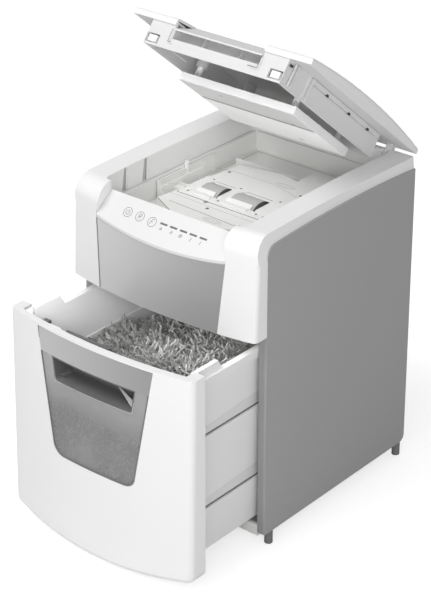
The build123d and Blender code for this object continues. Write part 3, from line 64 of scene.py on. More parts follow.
# %% Camera
turn, tilt = math.radians(39.932), math.radians(25.642)
camera_place = (1.5428, -1.9128, 1.5305)
focal, sensor, frame_shift = 126.5, 36.0, -0.12
back = np.array([math.sin(turn) * math.cos(tilt), -math.cos(turn) * math.cos(tilt), math.sin(tilt)])
right = np.array([math.cos(turn), math.sin(turn), 0.0])
up = np.cross(back, right)
lens = bpy.data.cameras.new("camera")
lens.lens, lens.sensor_width, lens.shift_y = focal, sensor, frame_shift
camera = bpy.data.objects.new("camera", lens)
camera.rotation_mode = "QUATERNION"
axes = Matrix(np.column_stack([right, up, back]).tolist())
camera.rotation_quaternion = axes.to_quaternion()
camera.location = camera_place
bpy.context.scene.collection.objects.link(camera)
bpy.context.scene.camera = camera
bpy.context.scene.view_settings.view_transform = "Standard"
print("camera:", camera_place, "focal length:", focal, "mm")

# %% [markdown]
# ## Helpers for new pieces
#
# A surface is worked out as one array of points on a grid, rows by columns, and the faces follow
# from the grid alone. That is quicker than placing vertices one by one, and the same helper serves
# every piece in the lesson.

# %% Grid helpers
def paint(level):
    """A grey written as 0-255 on screen, or a triple of them, as the linear colour a shader wants."""
    s = np.broadcast_to(np.asarray(level, float) / 255, 3)
    linear = np.where(s <= 0.04045, s / 12.92, ((s + 0.055) / 1.055) ** 2.4)
    return (*linear.tolist(), 1.0)


def grid_faces(rows, columns, around=False):
    """Quads between neighbours on a grid of points; around joins the last column to the first."""
    c = np.arange(columns if around else columns - 1)
    r = np.arange(rows - 1)[:, None] * columns
    n = (c + 1) % columns
    return np.stack([r + c, r + n, r + columns + n, r + columns + c], axis=-1).reshape(-1, 4)


def add_piece(name, points, faces, body, slot, finish=None, smooth=False, tone=None):
    """Put points and faces into the scene as one mesh, riding on a body. It takes its slot's finish
    unless another is named; tone is one value per point, for a finish that reads it."""
    mesh = bpy.data.meshes.new(name)
    points = np.asarray(points, float).reshape(-1, 3)
    mesh.from_pydata(points.tolist(), [], [list(f) for f in faces])
    mesh.polygons.foreach_set("use_smooth", np.full(len(mesh.polygons), smooth))
    if tone is not None:
        values = mesh.attributes.new("tone", "FLOAT", "POINT").data
        values.foreach_set("value", np.asarray(tone, np.float32))
    mesh.update()
    piece = bpy.data.objects.new(name, mesh)
    bpy.context.scene.collection.objects.link(piece)
    mesh.materials.append(finishes[finish or slot])
    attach(piece, body)
    print(f"{name}: {len(points)} points, {len(mesh.polygons)} faces")
    return piece


# %% Solids made of rings
def loft(rings):
    """Points and faces of a closed solid through rings of equal length, capped at both ends. Three
    times its volume is the sum of each face's centre times its area vector; where that comes out
    negative the rings ran the other way round, so every face is turned over."""
    rings = np.asarray(rings, float)
    rows, columns = rings.shape[:2]
    sides = grid_faces(rows, columns, around=True)
    points = rings.reshape(-1, 3)
    corner = points[sides] - points.mean(axis=0)
    area = np.cross(corner[:, 2] - corner[:, 0], corner[:, 3] - corner[:, 1]) / 2
    caps = [list(range(columns))[::-1], [(rows - 1) * columns + i for i in range(columns)]]
    volume = (corner.mean(axis=1) * area).sum()
    for cap in caps:
        edge = points[cap] - points.mean(axis=0)
        volume += edge.mean(axis=0) @ np.cross(edge, np.roll(edge, -1, axis=0)).sum(axis=0) / 2
    faces = sides.tolist() + caps
    return points, faces if volume > 0 else [face[::-1] for face in faces]


def joined(parts):
    """Several (points, faces) pairs as one pair, each face's numbers moved past the points before."""
    points, faces, start = [], [], 0
    for p, f in parts:
        points.append(np.asarray(p, float))
        faces += [[i + start for i in face] for face in f]
        start += len(p)
    return np.concatenate(points), faces


def add_parts(name, parts, body, slot, finish=None, smooth=False, turn=None):
    """Several (points, faces) pairs as one piece; turn, if given, carries the points into place."""
    points, faces = joined(parts)
    points = points if turn is None else turn(points)
    return add_piece(name, points, faces, body, slot, finish, smooth)


def rounded_outline(x0, x1, y0, y1, radius, steps=6):
    """A rectangle with quarter-circle corners, counter-clockwise, as an (n, 2) array."""
    a = np.linspace(0, math.pi / 2, steps)
    quarter = np.stack([np.cos(a), np.sin(a)], -1) * radius
    turned = [np.stack([quarter[:, 0] * c - quarter[:, 1] * s, quarter[:, 0] * s + quarter[:, 1] * c], -1)
              for c, s in ((1, 0), (0, 1), (-1, 0), (0, -1))]
    centres = [(x1 - radius, y1 - radius), (x0 + radius, y1 - radius), (x0 + radius, y0 + radius),
               (x1 - radius, y0 + radius)]
    return np.concatenate([t + c for t, c in zip(turned, centres)])


def stacked(*levels):
    """A loft through flat outlines, each an (n, 2) array with the height that it lies at."""
    return loft([np.column_stack([outline, np.full(len(outline), z)]) for outline, z in levels])


def slab(x0, x1, y0, y1, z0, z1, radius, bevel=0.0006):
    """A flat plate with rounded corners and a small bevel round its top: three rings of one outline,
    the last drawn in by the bevel."""
    wide = rounded_outline(x0, x1, y0, y1, radius)
    near = rounded_outline(x0 + bevel, x1 - bevel, y0 + bevel, y1 - bevel, max(radius - bevel, 1e-4))
    return stacked((wide, z0), (wide, z1 - bevel), (near, z1))


# %% [markdown]
# ## Effects that several finishes share
#
# Moulded plastic is never one flat colour. Its tone drifts a little over a hand's width, the mould's
# spark grain roughens it, and dust settles on faces that look up. One node group with named inputs
# makes all three: it is built once, and every plastic uses it with its own values.

# %% Node helpers
def new_group(name, inputs, outputs):
    """An empty shader node group; inputs are (name, kind, value), outputs are (name, kind)."""
    tree = bpy.data.node_groups.new(name, "ShaderNodeTree")
    for label, kind, value in inputs:
        socket = tree.interface.new_socket(label, in_out="INPUT", socket_type="NodeSocket" + kind)
        socket.default_value = value
    for label, kind in outputs:
        tree.interface.new_socket(label, in_out="OUTPUT", socket_type="NodeSocket" + kind)
    return tree, tree.nodes.new("NodeGroupInput"), tree.nodes.new("NodeGroupOutput")


def feed(tree, node, values):
    """Give a node's inputs, by name or number, their values: a link from another node's output, or
    a plain number or colour."""
    for key, value in values.items():
        if isinstance(value, bpy.types.NodeSocket):
            tree.links.new(value, node.inputs[key])
        else:
            node.inputs[key].default_value = value


def math_node(tree, kind, *values, clamp=False):
    """One step of arithmetic on up to three values; each may be a socket or a plain number."""
    node = tree.nodes.new("ShaderNodeMath")
    node.operation, node.use_clamp = kind, clamp
    feed(tree, node, dict(enumerate(values)))
    return node.outputs[0]


colour_a, colour_b, colour_out = 6, 7, 2       # a Mix node's sockets when it blends colours


def mixed(tree, factor, a, b):
    """Blend colour a towards colour b by factor; each may be a socket or a plain value."""
    node = tree.nodes.new("ShaderNodeMix")
    node.data_type = "RGBA"
    feed(tree, node, {"Factor": factor, colour_a: a, colour_b: b})
    return node.outputs[colour_out]


def scaled(tree, colour, factor):
    """A colour multiplied by a factor; both are sockets."""
    node = tree.nodes.new("ShaderNodeVectorMath")
    node.operation = "SCALE"
    feed(tree, node, {0: colour, "Scale": factor})
    return node.outputs[0]


def split_up(tree, vector):
    """The outputs X, Y and Z of a vector socket."""
    node = tree.nodes.new("ShaderNodeSeparateXYZ")
    feed(tree, node, {0: vector})
    return node.outputs


def own_place(tree):
    """Each point's place in the object's own axes."""
    return tree.nodes.new("ShaderNodeTexCoord").outputs["Object"]


def noise(tree, place, scale, detail):
    """A cloudy value about 0.5 at place; the larger scale is, the finer the clouds."""
    node = tree.nodes.new("ShaderNodeTexNoise")
    feed(tree, node, {"Detail": detail, "Vector": place, "Scale": scale})
    return node.outputs["Fac"]


# %% Group: moulded plastic
dust_colour, dust_matt = (0.78, 0.77, 0.75, 1), 0.35


def make_moulded_group():
    """Colour drifts by Drift over large patches, roughness by Uneven; Height is the spark grain."""
    tree, gin, gout = new_group(
        "moulded plastic",
        [("Colour", "Color", (0.8, 0.8, 0.8, 1)), ("Drift", "Float", 0.03), ("Roughness", "Float", 0.45),
         ("Uneven", "Float", 0.06), ("Grain Scale", "Float", 1400.0), ("Dust", "Float", 0.1)],
        [("Colour", "Color"), ("Roughness", "Float"), ("Height", "Float")])
    place = own_place(tree)
    broad = noise(tree, place, 7.0, 3.0)
    middling = noise(tree, place, 60.0, 4.0)
    grain = noise(tree, place, gin.outputs["Grain Scale"], 3.0)
    shade = math_node(tree, "MULTIPLY", math_node(tree, "SUBTRACT", broad, 0.5), gin.outputs["Drift"])
    shade = math_node(tree, "ADD", shade, 1.0)
    drifted = scaled(tree, gin.outputs["Colour"], shade)
    facing = split_up(tree, tree.nodes.new("ShaderNodeNewGeometry").outputs["Normal"])
    upward = math_node(tree, "POWER", math_node(tree, "MAXIMUM", facing["Z"], 0.0), 3.0)
    patchy = math_node(tree, "MULTIPLY", middling, gin.outputs["Dust"])
    settled = math_node(tree, "MULTIPLY", upward, patchy)
    dusty = mixed(tree, settled, drifted, dust_colour)
    rough = math_node(tree, "MULTIPLY", math_node(tree, "SUBTRACT", middling, 0.5), gin.outputs["Uneven"])
    rough = math_node(tree, "ADD", rough, gin.outputs["Roughness"])
    rough = math_node(tree, "MULTIPLY_ADD", settled, dust_matt, rough, clamp=True)
    feed(tree, gout, {"Colour": dusty, "Roughness": rough, "Height": grain})
    return tree


moulded_group = make_moulded_group()
print("group:", moulded_group.name)


# %% Parts of every material
def plain_material(name):
    """A new material with its Principled shader and output, and nothing else."""
    material = bpy.data.materials.new(name)
    material.use_nodes = True
    tree = material.node_tree
    tree.nodes.clear()
    shader = tree.nodes.new("ShaderNodeBsdfPrincipled")
    output = tree.nodes.new("ShaderNodeOutputMaterial")
    feed(tree, output, {"Surface": shader.outputs[0]})
    return material, tree, shader


def bump(tree, shader, height, distance):
    """Let a height between 0 and 1 raise the surface by that distance, in shading only."""
    node = tree.nodes.new("ShaderNodeBump")
    feed(tree, node, {"Distance": distance, "Height": height})
    feed(tree, shader, {"Normal": node.outputs[0]})


def across(tree, low, high, left, right, axis="X"):
    """A colour that runs smoothly from left, where the axis reads low, to right, where it reads high;
    both colours are given as for paint."""
    place = split_up(tree, own_place(tree))
    reach = tree.nodes.new("ShaderNodeMapRange")
    reach.interpolation_type = "SMOOTHSTEP"
    feed(tree, reach, {"Value": place[axis], "From Min": low, "From Max": high})
    return mixed(tree, reach.outputs["Result"], paint(left), paint(right))


# %% Material builder for plastics
# the painted shade round the bow runs between these two x
cabinet_left, cabinet_right = -0.13, 0.14


def moulded(name, colour, roughness=0.45, drift=0.03, grain=0.000012, dust=0.08, metal=0.0,
            painted_shade_to=None):
    """A moulded plastic: the shared group feeds colour, roughness and a grain bump of that height.
    Colours are given as for paint; with a second colour, the colour runs to it from the cabinet's left
    to its right, which is painted shade round the bow."""
    material, tree, shader = plain_material(name)
    group = tree.nodes.new("ShaderNodeGroup")
    group.node_tree = moulded_group
    feed(tree, group, {"Colour": paint(colour), "Roughness": roughness, "Drift": drift, "Dust": dust})
    if painted_shade_to is not None:
        feed(tree, group, {"Colour": across(tree, cabinet_left, cabinet_right, colour, painted_shade_to)})
    bump(tree, shader, group.outputs["Height"], grain)
    feed(tree, shader, {"Base Color": group.outputs["Colour"], "Roughness": group.outputs["Roughness"],
                        "Metallic": metal})
    return material


# %% [markdown]
# ## Finishes
#
# The cabinet is white and two greys of moulded plastic; the front panel and the bin's band carry a
# silk paint with a little metal in it; its colour darkens from left to right, painted shade round
# the bow. Working parts inside are steel, bronze and nylon. A solid takes its slot's finish, and the
# few whose tone differs from the rest of their slot have one of their own.

# %% Finishes of the plastics
finishes = {
    "white_shell": moulded("white shell", 242, 0.42, 0.012),
    "grey_panel": moulded("side panel grey", 165, 0.5, 0.03),
    "light_grey": moulded("light grey", (240, 240, 238), 0.5, 0.02),
    # painted shade: this grey darkens from the cabinet's left to its right
    "mid_grey": moulded("silk grey with painted shade", 216, 0.36, 0.015, metal=0.15, painted_shade_to=158),
    "bin_grey": moulded("bucket grey", 238, 0.5, 0.02),
    "lid_inner": moulded("lid inside grey", 222, 0.55, 0.02),
    "presser_grey": moulded("presser grey", 236, 0.5, 0.015),
    "dark_plastic": moulded("dark plastic", 52, 0.5, 0.05),
    "gear_plastic": moulded("gear nylon", (226, 222, 208), 0.4, 0.03),
    "roller_rubber": moulded("roller rubber", 184, 0.6, 0.06, grain=0.00004),
    "foot_rubber": moulded("foot rubber", 120, 0.8, 0.06, grain=0.00005),
    "lens": moulded("lens", 98, 0.2, 0.02),
}
per_piece = {
    "side_frame_left": moulded("side frame grey", 156, 0.5, 0.02),
    "side_frame_right": moulded("side frame grey right", 150, 0.5, 0.02),
    # painted shade: the band darkens from left to right in the same way
    "bin_band": moulded("silk band with painted shade", 198, 0.36, 0.015, metal=0.1, painted_shade_to=150),
    "control_panel": moulded("control white", 226, 0.42, 0.012),
    "bin_clips": moulded("clip grey", 96, 0.5, 0.02),
    "bin_grip": moulded("grip grey", 104, 0.5, 0.02),
    "lid_grip": moulded("lid grip grey", 222, 0.5, 0.02),
}

# %% Finishes of the metals and the boards
for slot_name, colour, rough, metal in (
        ("steel_plate", 175, 0.38, 1.0), ("cutter_steel", 120, 0.32, 1.0), ("zinc_steel", 190, 0.35, 1.0),
        ("motor_steel", 95, 0.45, 0.9), ("bronze", (176, 134, 84), 0.35, 1.0),
        ("circuit_board", (38, 92, 62), 0.5, 0.0)):
    finishes[slot_name] = moulded(slot_name.replace("_", " "), colour, rough, 0.08, metal=metal)


# %% Finish of the window
# painted light: the window's grey is painted paler towards the top between these heights
painted_light_low, painted_light_high = 0.185, 0.255       # the sheet pales between these heights


def make_smoked_window():
    """Smoke-tinted clear plastic, a little cloudy: part of the light goes straight through and the
    rest scatters off a grey that drifts in broad patches; its paling towards the top is painted light."""
    material, tree, shader = plain_material("smoked window")
    cloud = noise(tree, own_place(tree), 14.0, 3.0)
    dark = across(tree, painted_light_low, painted_light_high, 138, 186, "Z")
    pale = across(tree, painted_light_low, painted_light_high, 184, 214, "Z")
    feed(tree, shader, {"Base Color": mixed(tree, cloud, dark, pale), "Roughness": 0.22, "Alpha": 0.5})
    return material


finishes["smoked_window"] = make_smoked_window()

# %% Finish of the shreds
def make_shred_paper():
    """Office paper: each strip has its own tone, and fine fibres roughen it."""
    material, tree, shader = plain_material("paper strips")
    tone = tree.nodes.new("ShaderNodeAttribute")
    tone.attribute_name = "tone"
    fibre = noise(tree, own_place(tree), 900.0, 4.0)
    paper = mixed(tree, tone.outputs["Fac"], paint(138), paint((196, 196, 193)))
    fleck = math_node(tree, "MULTIPLY_ADD", fibre, 0.2, 0.9)
    feed(tree, shader, {"Base Color": scaled(tree, paper, fleck), "Roughness": 0.85})
    bump(tree, shader, fibre, 0.00003)
    return material


finishes["paper_shreds"] = make_shred_paper()

# %% Finishes of lines, ink and shade
finishes["seam"] = moulded("shadow in a seam", 112, 0.7, 0.04, dust=0.02)
# painted shade in shallow lines and hollows, and painted reflection on the grip pocket's two facets
finishes["seam_soft"] = moulded("soft grey of painted shade and reflections", 186, 0.6, 0.03, dust=0.02)
finishes["ink"] = moulded("printed grey ink", 128, 0.5, 0.02, dust=0.02)
# painted shade on the bucket's slope above each rib
finishes["bin_shade"] = moulded("painted shade on the bucket's slope", 226, 0.5, 0.02)

# %% Give every solid its finish
for part in frame["record"]["subparts"]:
    mesh = solids[part["node"]].data
    mesh.materials.clear()
    mesh.materials.append(per_piece.get(part["node"], finishes[part["material_slot"]]))
print("finishes:", len(finishes) + len(per_piece))

# %% [markdown]
# ## The heap of shreds
#
# A cross-cut shredder drops thousands of small curled strips. The solid behind the heap is a plain
# crust, so a lumpy bed takes its place. Strips lie on it, and more of them line the window. One strip
# is an arc of paper: its middle line bends by a curvature, and its width turns a little from end to
# end. All strips are worked out at once, as arrays over strips and stations.

# %% Heap height
rng = np.random.default_rng(7)
heap_low, heap_high = (np.array(corner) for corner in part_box("shredded_paper"))
slope_x, slope_z = [-0.126, -0.06, 0.0, 0.07, 0.126], [0.207, 0.232, 0.251, 0.268, 0.277]


def heap_height(x, y):
    """Height of the heap: straight runs that rise from the left wall to the right one, plus two sets
    of sine waves, 4 mm and 2 mm high, that run across each other."""
    waves = np.sin(41 * x + 13 * y) * np.sin(37 * y - 9 * x) * 0.004 + np.sin(83 * x + 61 * y) * 0.002
    return np.interp(x, slope_x, slope_z) + waves


# %% Bowed faces
def fitted_bow(node):
    """The bowed sheet's outer face as y = a + b*x*x + c*z: a first fit to all of the node's corners
    runs inside the sheet, and a second takes only the corners in front of that."""
    corners = np.empty(len(solids[node].data.vertices) * 3)
    solids[node].data.vertices.foreach_get("co", corners)
    x, y, z = corners.reshape(-1, 3).T
    terms = np.stack([np.ones_like(x), x * x, z], -1)
    middle = terms @ np.linalg.lstsq(terms, y, rcond=None)[0]
    outer = y < middle
    fit = np.linalg.lstsq(terms[outer], y[outer], rcond=None)[0]
    return lambda px, pz: fit[0] + fit[1] * px * px + fit[2] * pz


window_face = fitted_bow("bin_window")


# %% The bed under the strips
bed_gap, bed_gap_side, bed_depth, bed_roughness = 0.002, 0.001, 0.006, 0.0012


def lumpy_bed(cells=44):
    """The heap's body: a box of six grids, merged where they meet, whose top follows heap_height a
    little below it; small noise roughens it."""
    u = np.linspace(0, 1, cells)
    a, b = np.meshgrid(u, u)
    none, full = 0 * a, 0 * a + 1
    sides = [(a, b, none), (a, b, full), (a, none, b), (a, full, b), (none, a, b), (full, a, b)]
    points = np.concatenate([np.stack(side, -1).reshape(-1, 3) for side in sides])
    faces = np.concatenate([grid_faces(cells, cells) + i * cells * cells for i in range(6)])
    points, index = np.unique(np.round(points, 6), axis=0, return_inverse=True)
    wide, deep = (heap_high - heap_low)[:2]
    x = heap_low[0] + bed_gap_side + points[:, 0] * (wide - 2 * bed_gap_side)
    y = heap_low[1] + bed_gap + points[:, 1] * (deep - 2 * bed_gap)
    top = heap_height(x, y) - bed_depth
    z = heap_low[2] + bed_gap + points[:, 2] * (top - heap_low[2] - bed_gap)
    rough = rng.normal(0, bed_roughness, (len(points), 3)) * [0, 0, 1]
    return np.stack([x, y, z], -1) + rough, index.ravel()[faces.ravel()].reshape(-1, 4)


# %% Curled strips
stations = 5                       # places along a strip, with a corner on each side at each


def strips(centres, along, over, length, width, curl, twist):
    """Curled strips: point = centre + along*sin(k s)/k + normal*(1-cos(k s))/k, with s from -L/2 to L/2
    and k the curl; the width vector, over, turns about the strip by twist from end to end."""
    normal = np.cross(along, over)
    s = np.linspace(-0.5, 0.5, stations)[None, :, None] * length[:, None, None]
    k = curl[:, None, None]
    bend = normal[:, None] * (1 - np.cos(k * s)) / k
    middle = centres[:, None] + along[:, None] * np.sin(k * s) / k + bend
    turn_here = np.linspace(-0.5, 0.5, stations)[None, :, None] * twist[:, None, None]
    side = over[:, None] * np.cos(turn_here) + normal[:, None] * np.sin(turn_here)
    half_width = width[:, None, None] / 2
    points = np.stack([middle - side * half_width, middle + side * half_width], axis=2)
    one = grid_faces(stations, 2)
    faces = (one[None] + np.arange(len(centres))[:, None, None] * stations * 2).reshape(-1, 4)
    return points.reshape(-1, 3), faces


def unit(v):
    """Each vector divided by its own length."""
    return v / np.linalg.norm(v, axis=-1, keepdims=True)


def scattered(normal, spread, count):
    """Random strip directions near the plane square to normal, tilted out of it by spread."""
    tilted = unit(normal + rng.normal(0, spread, (count, 3)))
    along = unit(np.cross(tilted, rng.normal(0, 1, (count, 3))))
    return along, np.cross(tilted, along)


def laid(centres, normal, spread, length, width, curl, twist):
    """Strips at those centres, in random directions; length, width and curl are drawn from a range
    each, and the twist from a bell curve of that spread."""
    count = len(centres)
    along, over = scattered(np.array(normal), spread, count)
    return strips(centres, along, over, rng.uniform(*length, count), rng.uniform(*width, count),
                  rng.uniform(*curl, count), rng.normal(0, twist, count))


# %% Strips on top of the heap
top_count, rim, top_reach, loose = 5200, 0.01, 0.155, 0.006


def top_strips():
    """Strips scattered over the heap's top, a little above and below heap_height."""
    x = rng.uniform(heap_low[0] + rim, heap_high[0] - rim, top_count)
    y = rng.uniform(heap_low[1] + rim, heap_low[1] + top_reach, top_count)
    z = heap_height(x, y) + rng.uniform(-loose, loose, top_count)
    return laid(np.stack([x, y, z], -1), normal=[0, 0, 1.0], spread=0.38, length=(0.016, 0.036),
                width=(0.0016, 0.0028), curl=(8, 60), twist=0.7)


# %% Strips behind the window
window_foot, lining_count, lining_low, lining_top = 0.13, 1500, 0.136, 0.222
lining_half, lining_flare = 0.06, 0.17    # half of its width at the foot, and its growth per metre
sheet_clearance, lining_depth = 0.0034, (0.0035, 0.0095)


def lining():
    """Strips pressed against the window: spread over its face, then kept clear behind the sheet."""
    x = rng.uniform(-1, 1, lining_count)
    z = rng.uniform(lining_low, lining_top, lining_count)
    x = x * (lining_half + (z - window_foot) * lining_flare)
    y = window_face(x, z) + rng.uniform(*lining_depth, lining_count)
    points, faces = laid(np.stack([x, y, z], -1), normal=[0, -1.0, 0], spread=0.22, length=(0.012, 0.026),
                         width=(0.0014, 0.0024), curl=(30, 130), twist=0.6)
    points[:, 1] = np.maximum(points[:, 1], window_face(points[:, 0], points[:, 2]) + sheet_clearance)
    return points, faces


# %% Put the heap together
bed_tone, pale_share, pale_tone, dim_tone = 0.12, 0.3, 1.2, 0.1


def make_shreds():
    """The bed, the strips on its top and the lining; each strip has one tone along its length."""
    bed, top, front = lumpy_bed(), top_strips(), lining()
    points, faces = joined([bed, top, front])
    top_tone = rng.uniform(0.1, 1.0, top_count)
    front_tone = np.where(rng.random(lining_count) < pale_share, pale_tone, dim_tone)
    tones = [np.full(len(bed[0]), bed_tone), np.repeat(top_tone, 2 * stations),
             np.repeat(front_tone, 2 * stations)]
    piece = add_piece("shred_heap", points, faces, "bin", "paper_shreds", tone=np.concatenate(tones))
    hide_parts("shredded_paper")
    return piece


shred_heap = make_shreds()

# %% [markdown]
# ## Lines drawn on faces
#
# Seams, printed marks and shallow relief are thinner than a millimetre, so each one is a flat band
# that follows a path. The path is drawn in two coordinates, and a placing function sets it on a face
# and lifts it square off that face. A new face then needs one short function and no new geometry.

# %% Paths
def resampled(points, steps=6):
    """Straight runs between points, with a few stations on each."""
    points = np.asarray(points, float)
    t = np.linspace(0, len(points) - 1, (len(points) - 1) * steps + 1)
    i = np.arange(len(points))
    return np.stack([np.interp(t, i, points[:, 0]), np.interp(t, i, points[:, 1])], -1)


def ring_at(x, y, rx, ry, steps=32):
    """An ellipse about (x, y): x + rx * cos(a), y + ry * sin(a), with a once round."""
    a = np.linspace(0, 2 * math.pi, steps)
    return np.stack([x + rx * np.cos(a), y + ry * np.sin(a)], -1)


# %% Placing functions
def at_height(level, out=1):
    """For (x, y) paths on a level face: z = level + out * lift, with out = -1 on an underside."""
    return lambda path, lift: np.column_stack([path, np.full(len(path), level + out * lift)])


def at_x(wall):
    """For (y, z) paths on an upright face that looks along +x: x = wall + lift."""
    return lambda path, lift: np.column_stack([np.full(len(path), wall + lift), path])


def on_bow(face):
    """For (x, z) paths on a front face that may be bowed: y = face(x, z) - lift."""
    return lambda path, lift: np.column_stack([path[:, 0], face(*path.T) - lift, path[:, 1]])


# %% Ribbons
def ribbon(path, width, place, low=0.00002, high=0.00012):
    """A thin closed band along a flat path: each station has four corners, half a width to each
    side; place(points, lift) sets them into the room, raised by low and by high."""
    path = np.asarray(path, float)
    run = np.gradient(path, axis=0)
    side = np.stack([-run[:, 1], run[:, 0]], -1)
    side = side / np.linalg.norm(side, axis=1, keepdims=True) * width / 2
    left, right_side = path - side, path + side
    corners = [place(left, low), place(right_side, low), place(right_side, high), place(left, high)]
    return loft(np.stack(corners, axis=1))


def line_on(place, points, width, low=0.00002, high=0.00012, steps=6):
    """A ribbon along straight runs between the points."""
    return ribbon(resampled(points, steps), width, place, low, high)


# %% [markdown]
# ## Marks on the control panel
#
# Three touch keys are ringed signs: standby, R for reverse and F for forward. Under the five
# indicator lenses sit small plain signs. Each is ink a tenth of a millimetre thick, drawn along a
# path in the panel's own plane: x across, and a distance down its slope.

# %% The panel's plane
panel_rear_y, panel_rear_z = -0.1515, 0.43
slope = math.sqrt(0.5)
italic = 0.22                      # how far a sign leans to the right per unit of height


def on_panel(path, lift):
    """(x, distance down the slope) to a place in the room, raised square off the panel by lift."""
    path = np.asarray(path, float)
    return np.stack([path[:, 0], panel_rear_y - (path[:, 1] + lift) * slope,
                     panel_rear_z - (path[:, 1] - lift) * slope], -1)


def arc(centre, radius, start, end, steps=40):
    """Part of a circle in the panel's plane; angles run clockwise from the top, in degrees."""
    a = np.radians(np.linspace(start, end, steps))
    return np.stack([centre[0] + radius * np.sin(a), centre[1] - radius * np.cos(a)], -1)


def sign(centre, strokes, size, width):
    """Strokes drawn in a square of side 2, leaned to the right, scaled to size and moved to centre."""
    leaned = [[(u + italic * v, -v) for u, v in stroke] for stroke in strokes]
    return [line_on(on_panel, np.asarray(stroke, float) * size + centre, width) for stroke in leaned]


# %% Draw the keys and the small signs
standby, reverse, forward = (-0.061, 0.0206), (-0.041, 0.0207), (-0.0204, 0.022)
ring_radius, ring_width, thin = 0.0063, 0.0007, 0.00075
letter_size, bolt_size, small_size, small_width, small_down = 0.0034, 0.0036, 0.002, 0.0008, 0.0262
letter_r = [[(-0.55, -1), (-0.55, 1)],
            [(-0.55, 1), (0.2, 1), (0.55, 0.72), (0.55, 0.3), (0.2, 0.02), (-0.55, 0.02)],
            [(0.0, 0.02), (0.6, -1)]]
letter_f = [[(-0.5, -1), (-0.5, 1)], [(-0.5, 1), (0.6, 1)], [(-0.5, 0.08), (0.4, 0.08)]]
bar = [[(0, -1.2), (0, 1.2)]]
triangle = [[(-0.9, -0.6), (0.0, 0.9)], [(0.0, 0.9), (0.9, -0.6)], [(0.9, -0.6), (-0.9, -0.6)]]
pair = [[(-0.5, -1), (-0.1, 1)], [(0.5, -1), (0.9, 1)]]
box = [[(-0.8, -0.8), (-0.8, 0.8)], [(-0.8, 0.8), (0.8, 0.8)], [(0.8, 0.8), (0.8, -0.8)],
       [(0.8, -0.8), (-0.8, -0.8)], [(-0.3, 0), (0.3, 0)]]

marks = [ribbon(arc(key, ring_radius, 0, 360), ring_width, on_panel)
         for key in (standby, reverse, forward)]
marks.append(ribbon(arc(standby, 0.003, 35, 325), thin, on_panel))
marks += sign(standby, [[(0, 0.15), (0, 1.1)]], bolt_size, thin)
marks += sign(reverse, letter_r, letter_size, thin)
marks += sign(forward, letter_f, letter_size, thin)
for x, strokes in ((-0.0035, triangle), (0.0129, pair), (0.0282, box), (0.0441, bar), (0.0595, bar)):
    marks += sign((x, small_down), strokes, small_size, small_width)
add_parts("panel_marks", marks, "cabinet", "white_shell", finish="ink")

# %% [markdown]
# ## Details of the feed tray
#
# Round the two rollers the platform carries a raised plate, with a curved tongue in front of each
# roller and a lip behind it. Small plates like these are a loft: one outline repeated at a few
# heights, drawn in a little at the top so that the edge catches the light. The seams between
# mouldings are narrower than a millimetre, so a dark ribbon lies where each one runs.

# %% Tray plates and tongues
deck, feed_y, feed_z = 0.404, -0.029, 0.386
rollers = ((-0.05, -0.018), (0.0, 0.042))        # each from x to x
plate_rise, hub_rise, tongue_foot, tongue_rise = 0.0016, 0.0022, 0.0014, 0.0034
plate_half, cover_radius = 0.071, 0.0249
beside_rollers = (-0.0475, -0.0108)              # from y to y


def roller_shell(x0, x1, start, end, thick=0.0011, steps=14):
    """A cover that hugs a roller: an arc of wall between two angles from the top, from x0 to x1."""
    a = np.radians(np.linspace(start, end, steps))
    rings = []
    for x in (x0, x1):
        outer, inner = (np.stack([np.full(steps, x), feed_y + r * np.sin(a), feed_z + r * np.cos(a)], -1)
                        for r in (cover_radius + thick, cover_radius))
        rings.append(np.concatenate([outer, inner[::-1]]))
    return loft(rings)


plates = [slab(-plate_half, plate_half, y0, y1, deck, deck + plate_rise, 0.003)
          for y0, y1 in ((-0.0105, 0.0005), (-0.06, -0.0478))]
plates += [slab(x0, x1, *beside_rollers, deck, deck + hub_rise, 0.004)
           for x0, x1 in ((-0.0178, -0.0008), (-0.07, -0.052), (0.044, 0.069))]
for x0, x1 in rollers:
    plates.append(roller_shell(x0 - 0.003, x1 - 0.005, -66, -27))
    plates.append(slab(x0 - 0.005, x1 - 0.005, -0.056, -0.0492, deck + tongue_foot, deck + tongue_rise,
                       0.0022))
    plates.append(roller_shell(x0 + 0.001, x1 + 0.002, 44, 58))
add_parts("tray_strips", plates, "cabinet", "light_grey")


# %% Roller ribs
def ribbed_sleeve(x0, x1, ribs, radius, swell, around=64):
    """A rubber sleeve: a circle carried along x whose radius swells a little at each rib."""
    x = np.linspace(x0, x1, ribs * 4 + 1)
    radius = radius + swell * np.clip(np.sin(np.linspace(0, ribs * 2 * math.pi, len(x))), 0, 1)
    a = np.linspace(0, 2 * math.pi, around, endpoint=False)
    rings = np.stack([np.repeat(x[:, None], around, 1), feed_y + radius[:, None] * np.sin(a),
                      feed_z + radius[:, None] * np.cos(a)], -1)
    return loft(rings)


sleeve_radius, rib_height, collar_radius = 0.02405, 0.00012, 0.02412
add_parts("roller_sleeves", [
    ribbed_sleeve(x0 + 0.0002, x1 - 0.0016, 22, sleeve_radius, rib_height) for x0, x1 in rollers
], "feed", "roller_rubber", smooth=True)
add_parts("roller_collars", [
    ribbed_sleeve(x1 - 0.0015, x1 + 0.0004, 1, collar_radius, 0.0) for x0, x1 in rollers
], "feed", "dark_plastic", smooth=True)


# %% Seams and screw holes of the platform
def disc(x, y, radius, z, thick=0.00012, steps=20):
    """A round spot: one ring at two heights."""
    flat = ring_at(x, y, radius, radius, steps + 1)[:-1]
    return stacked((flat, z), (flat, z + thick))


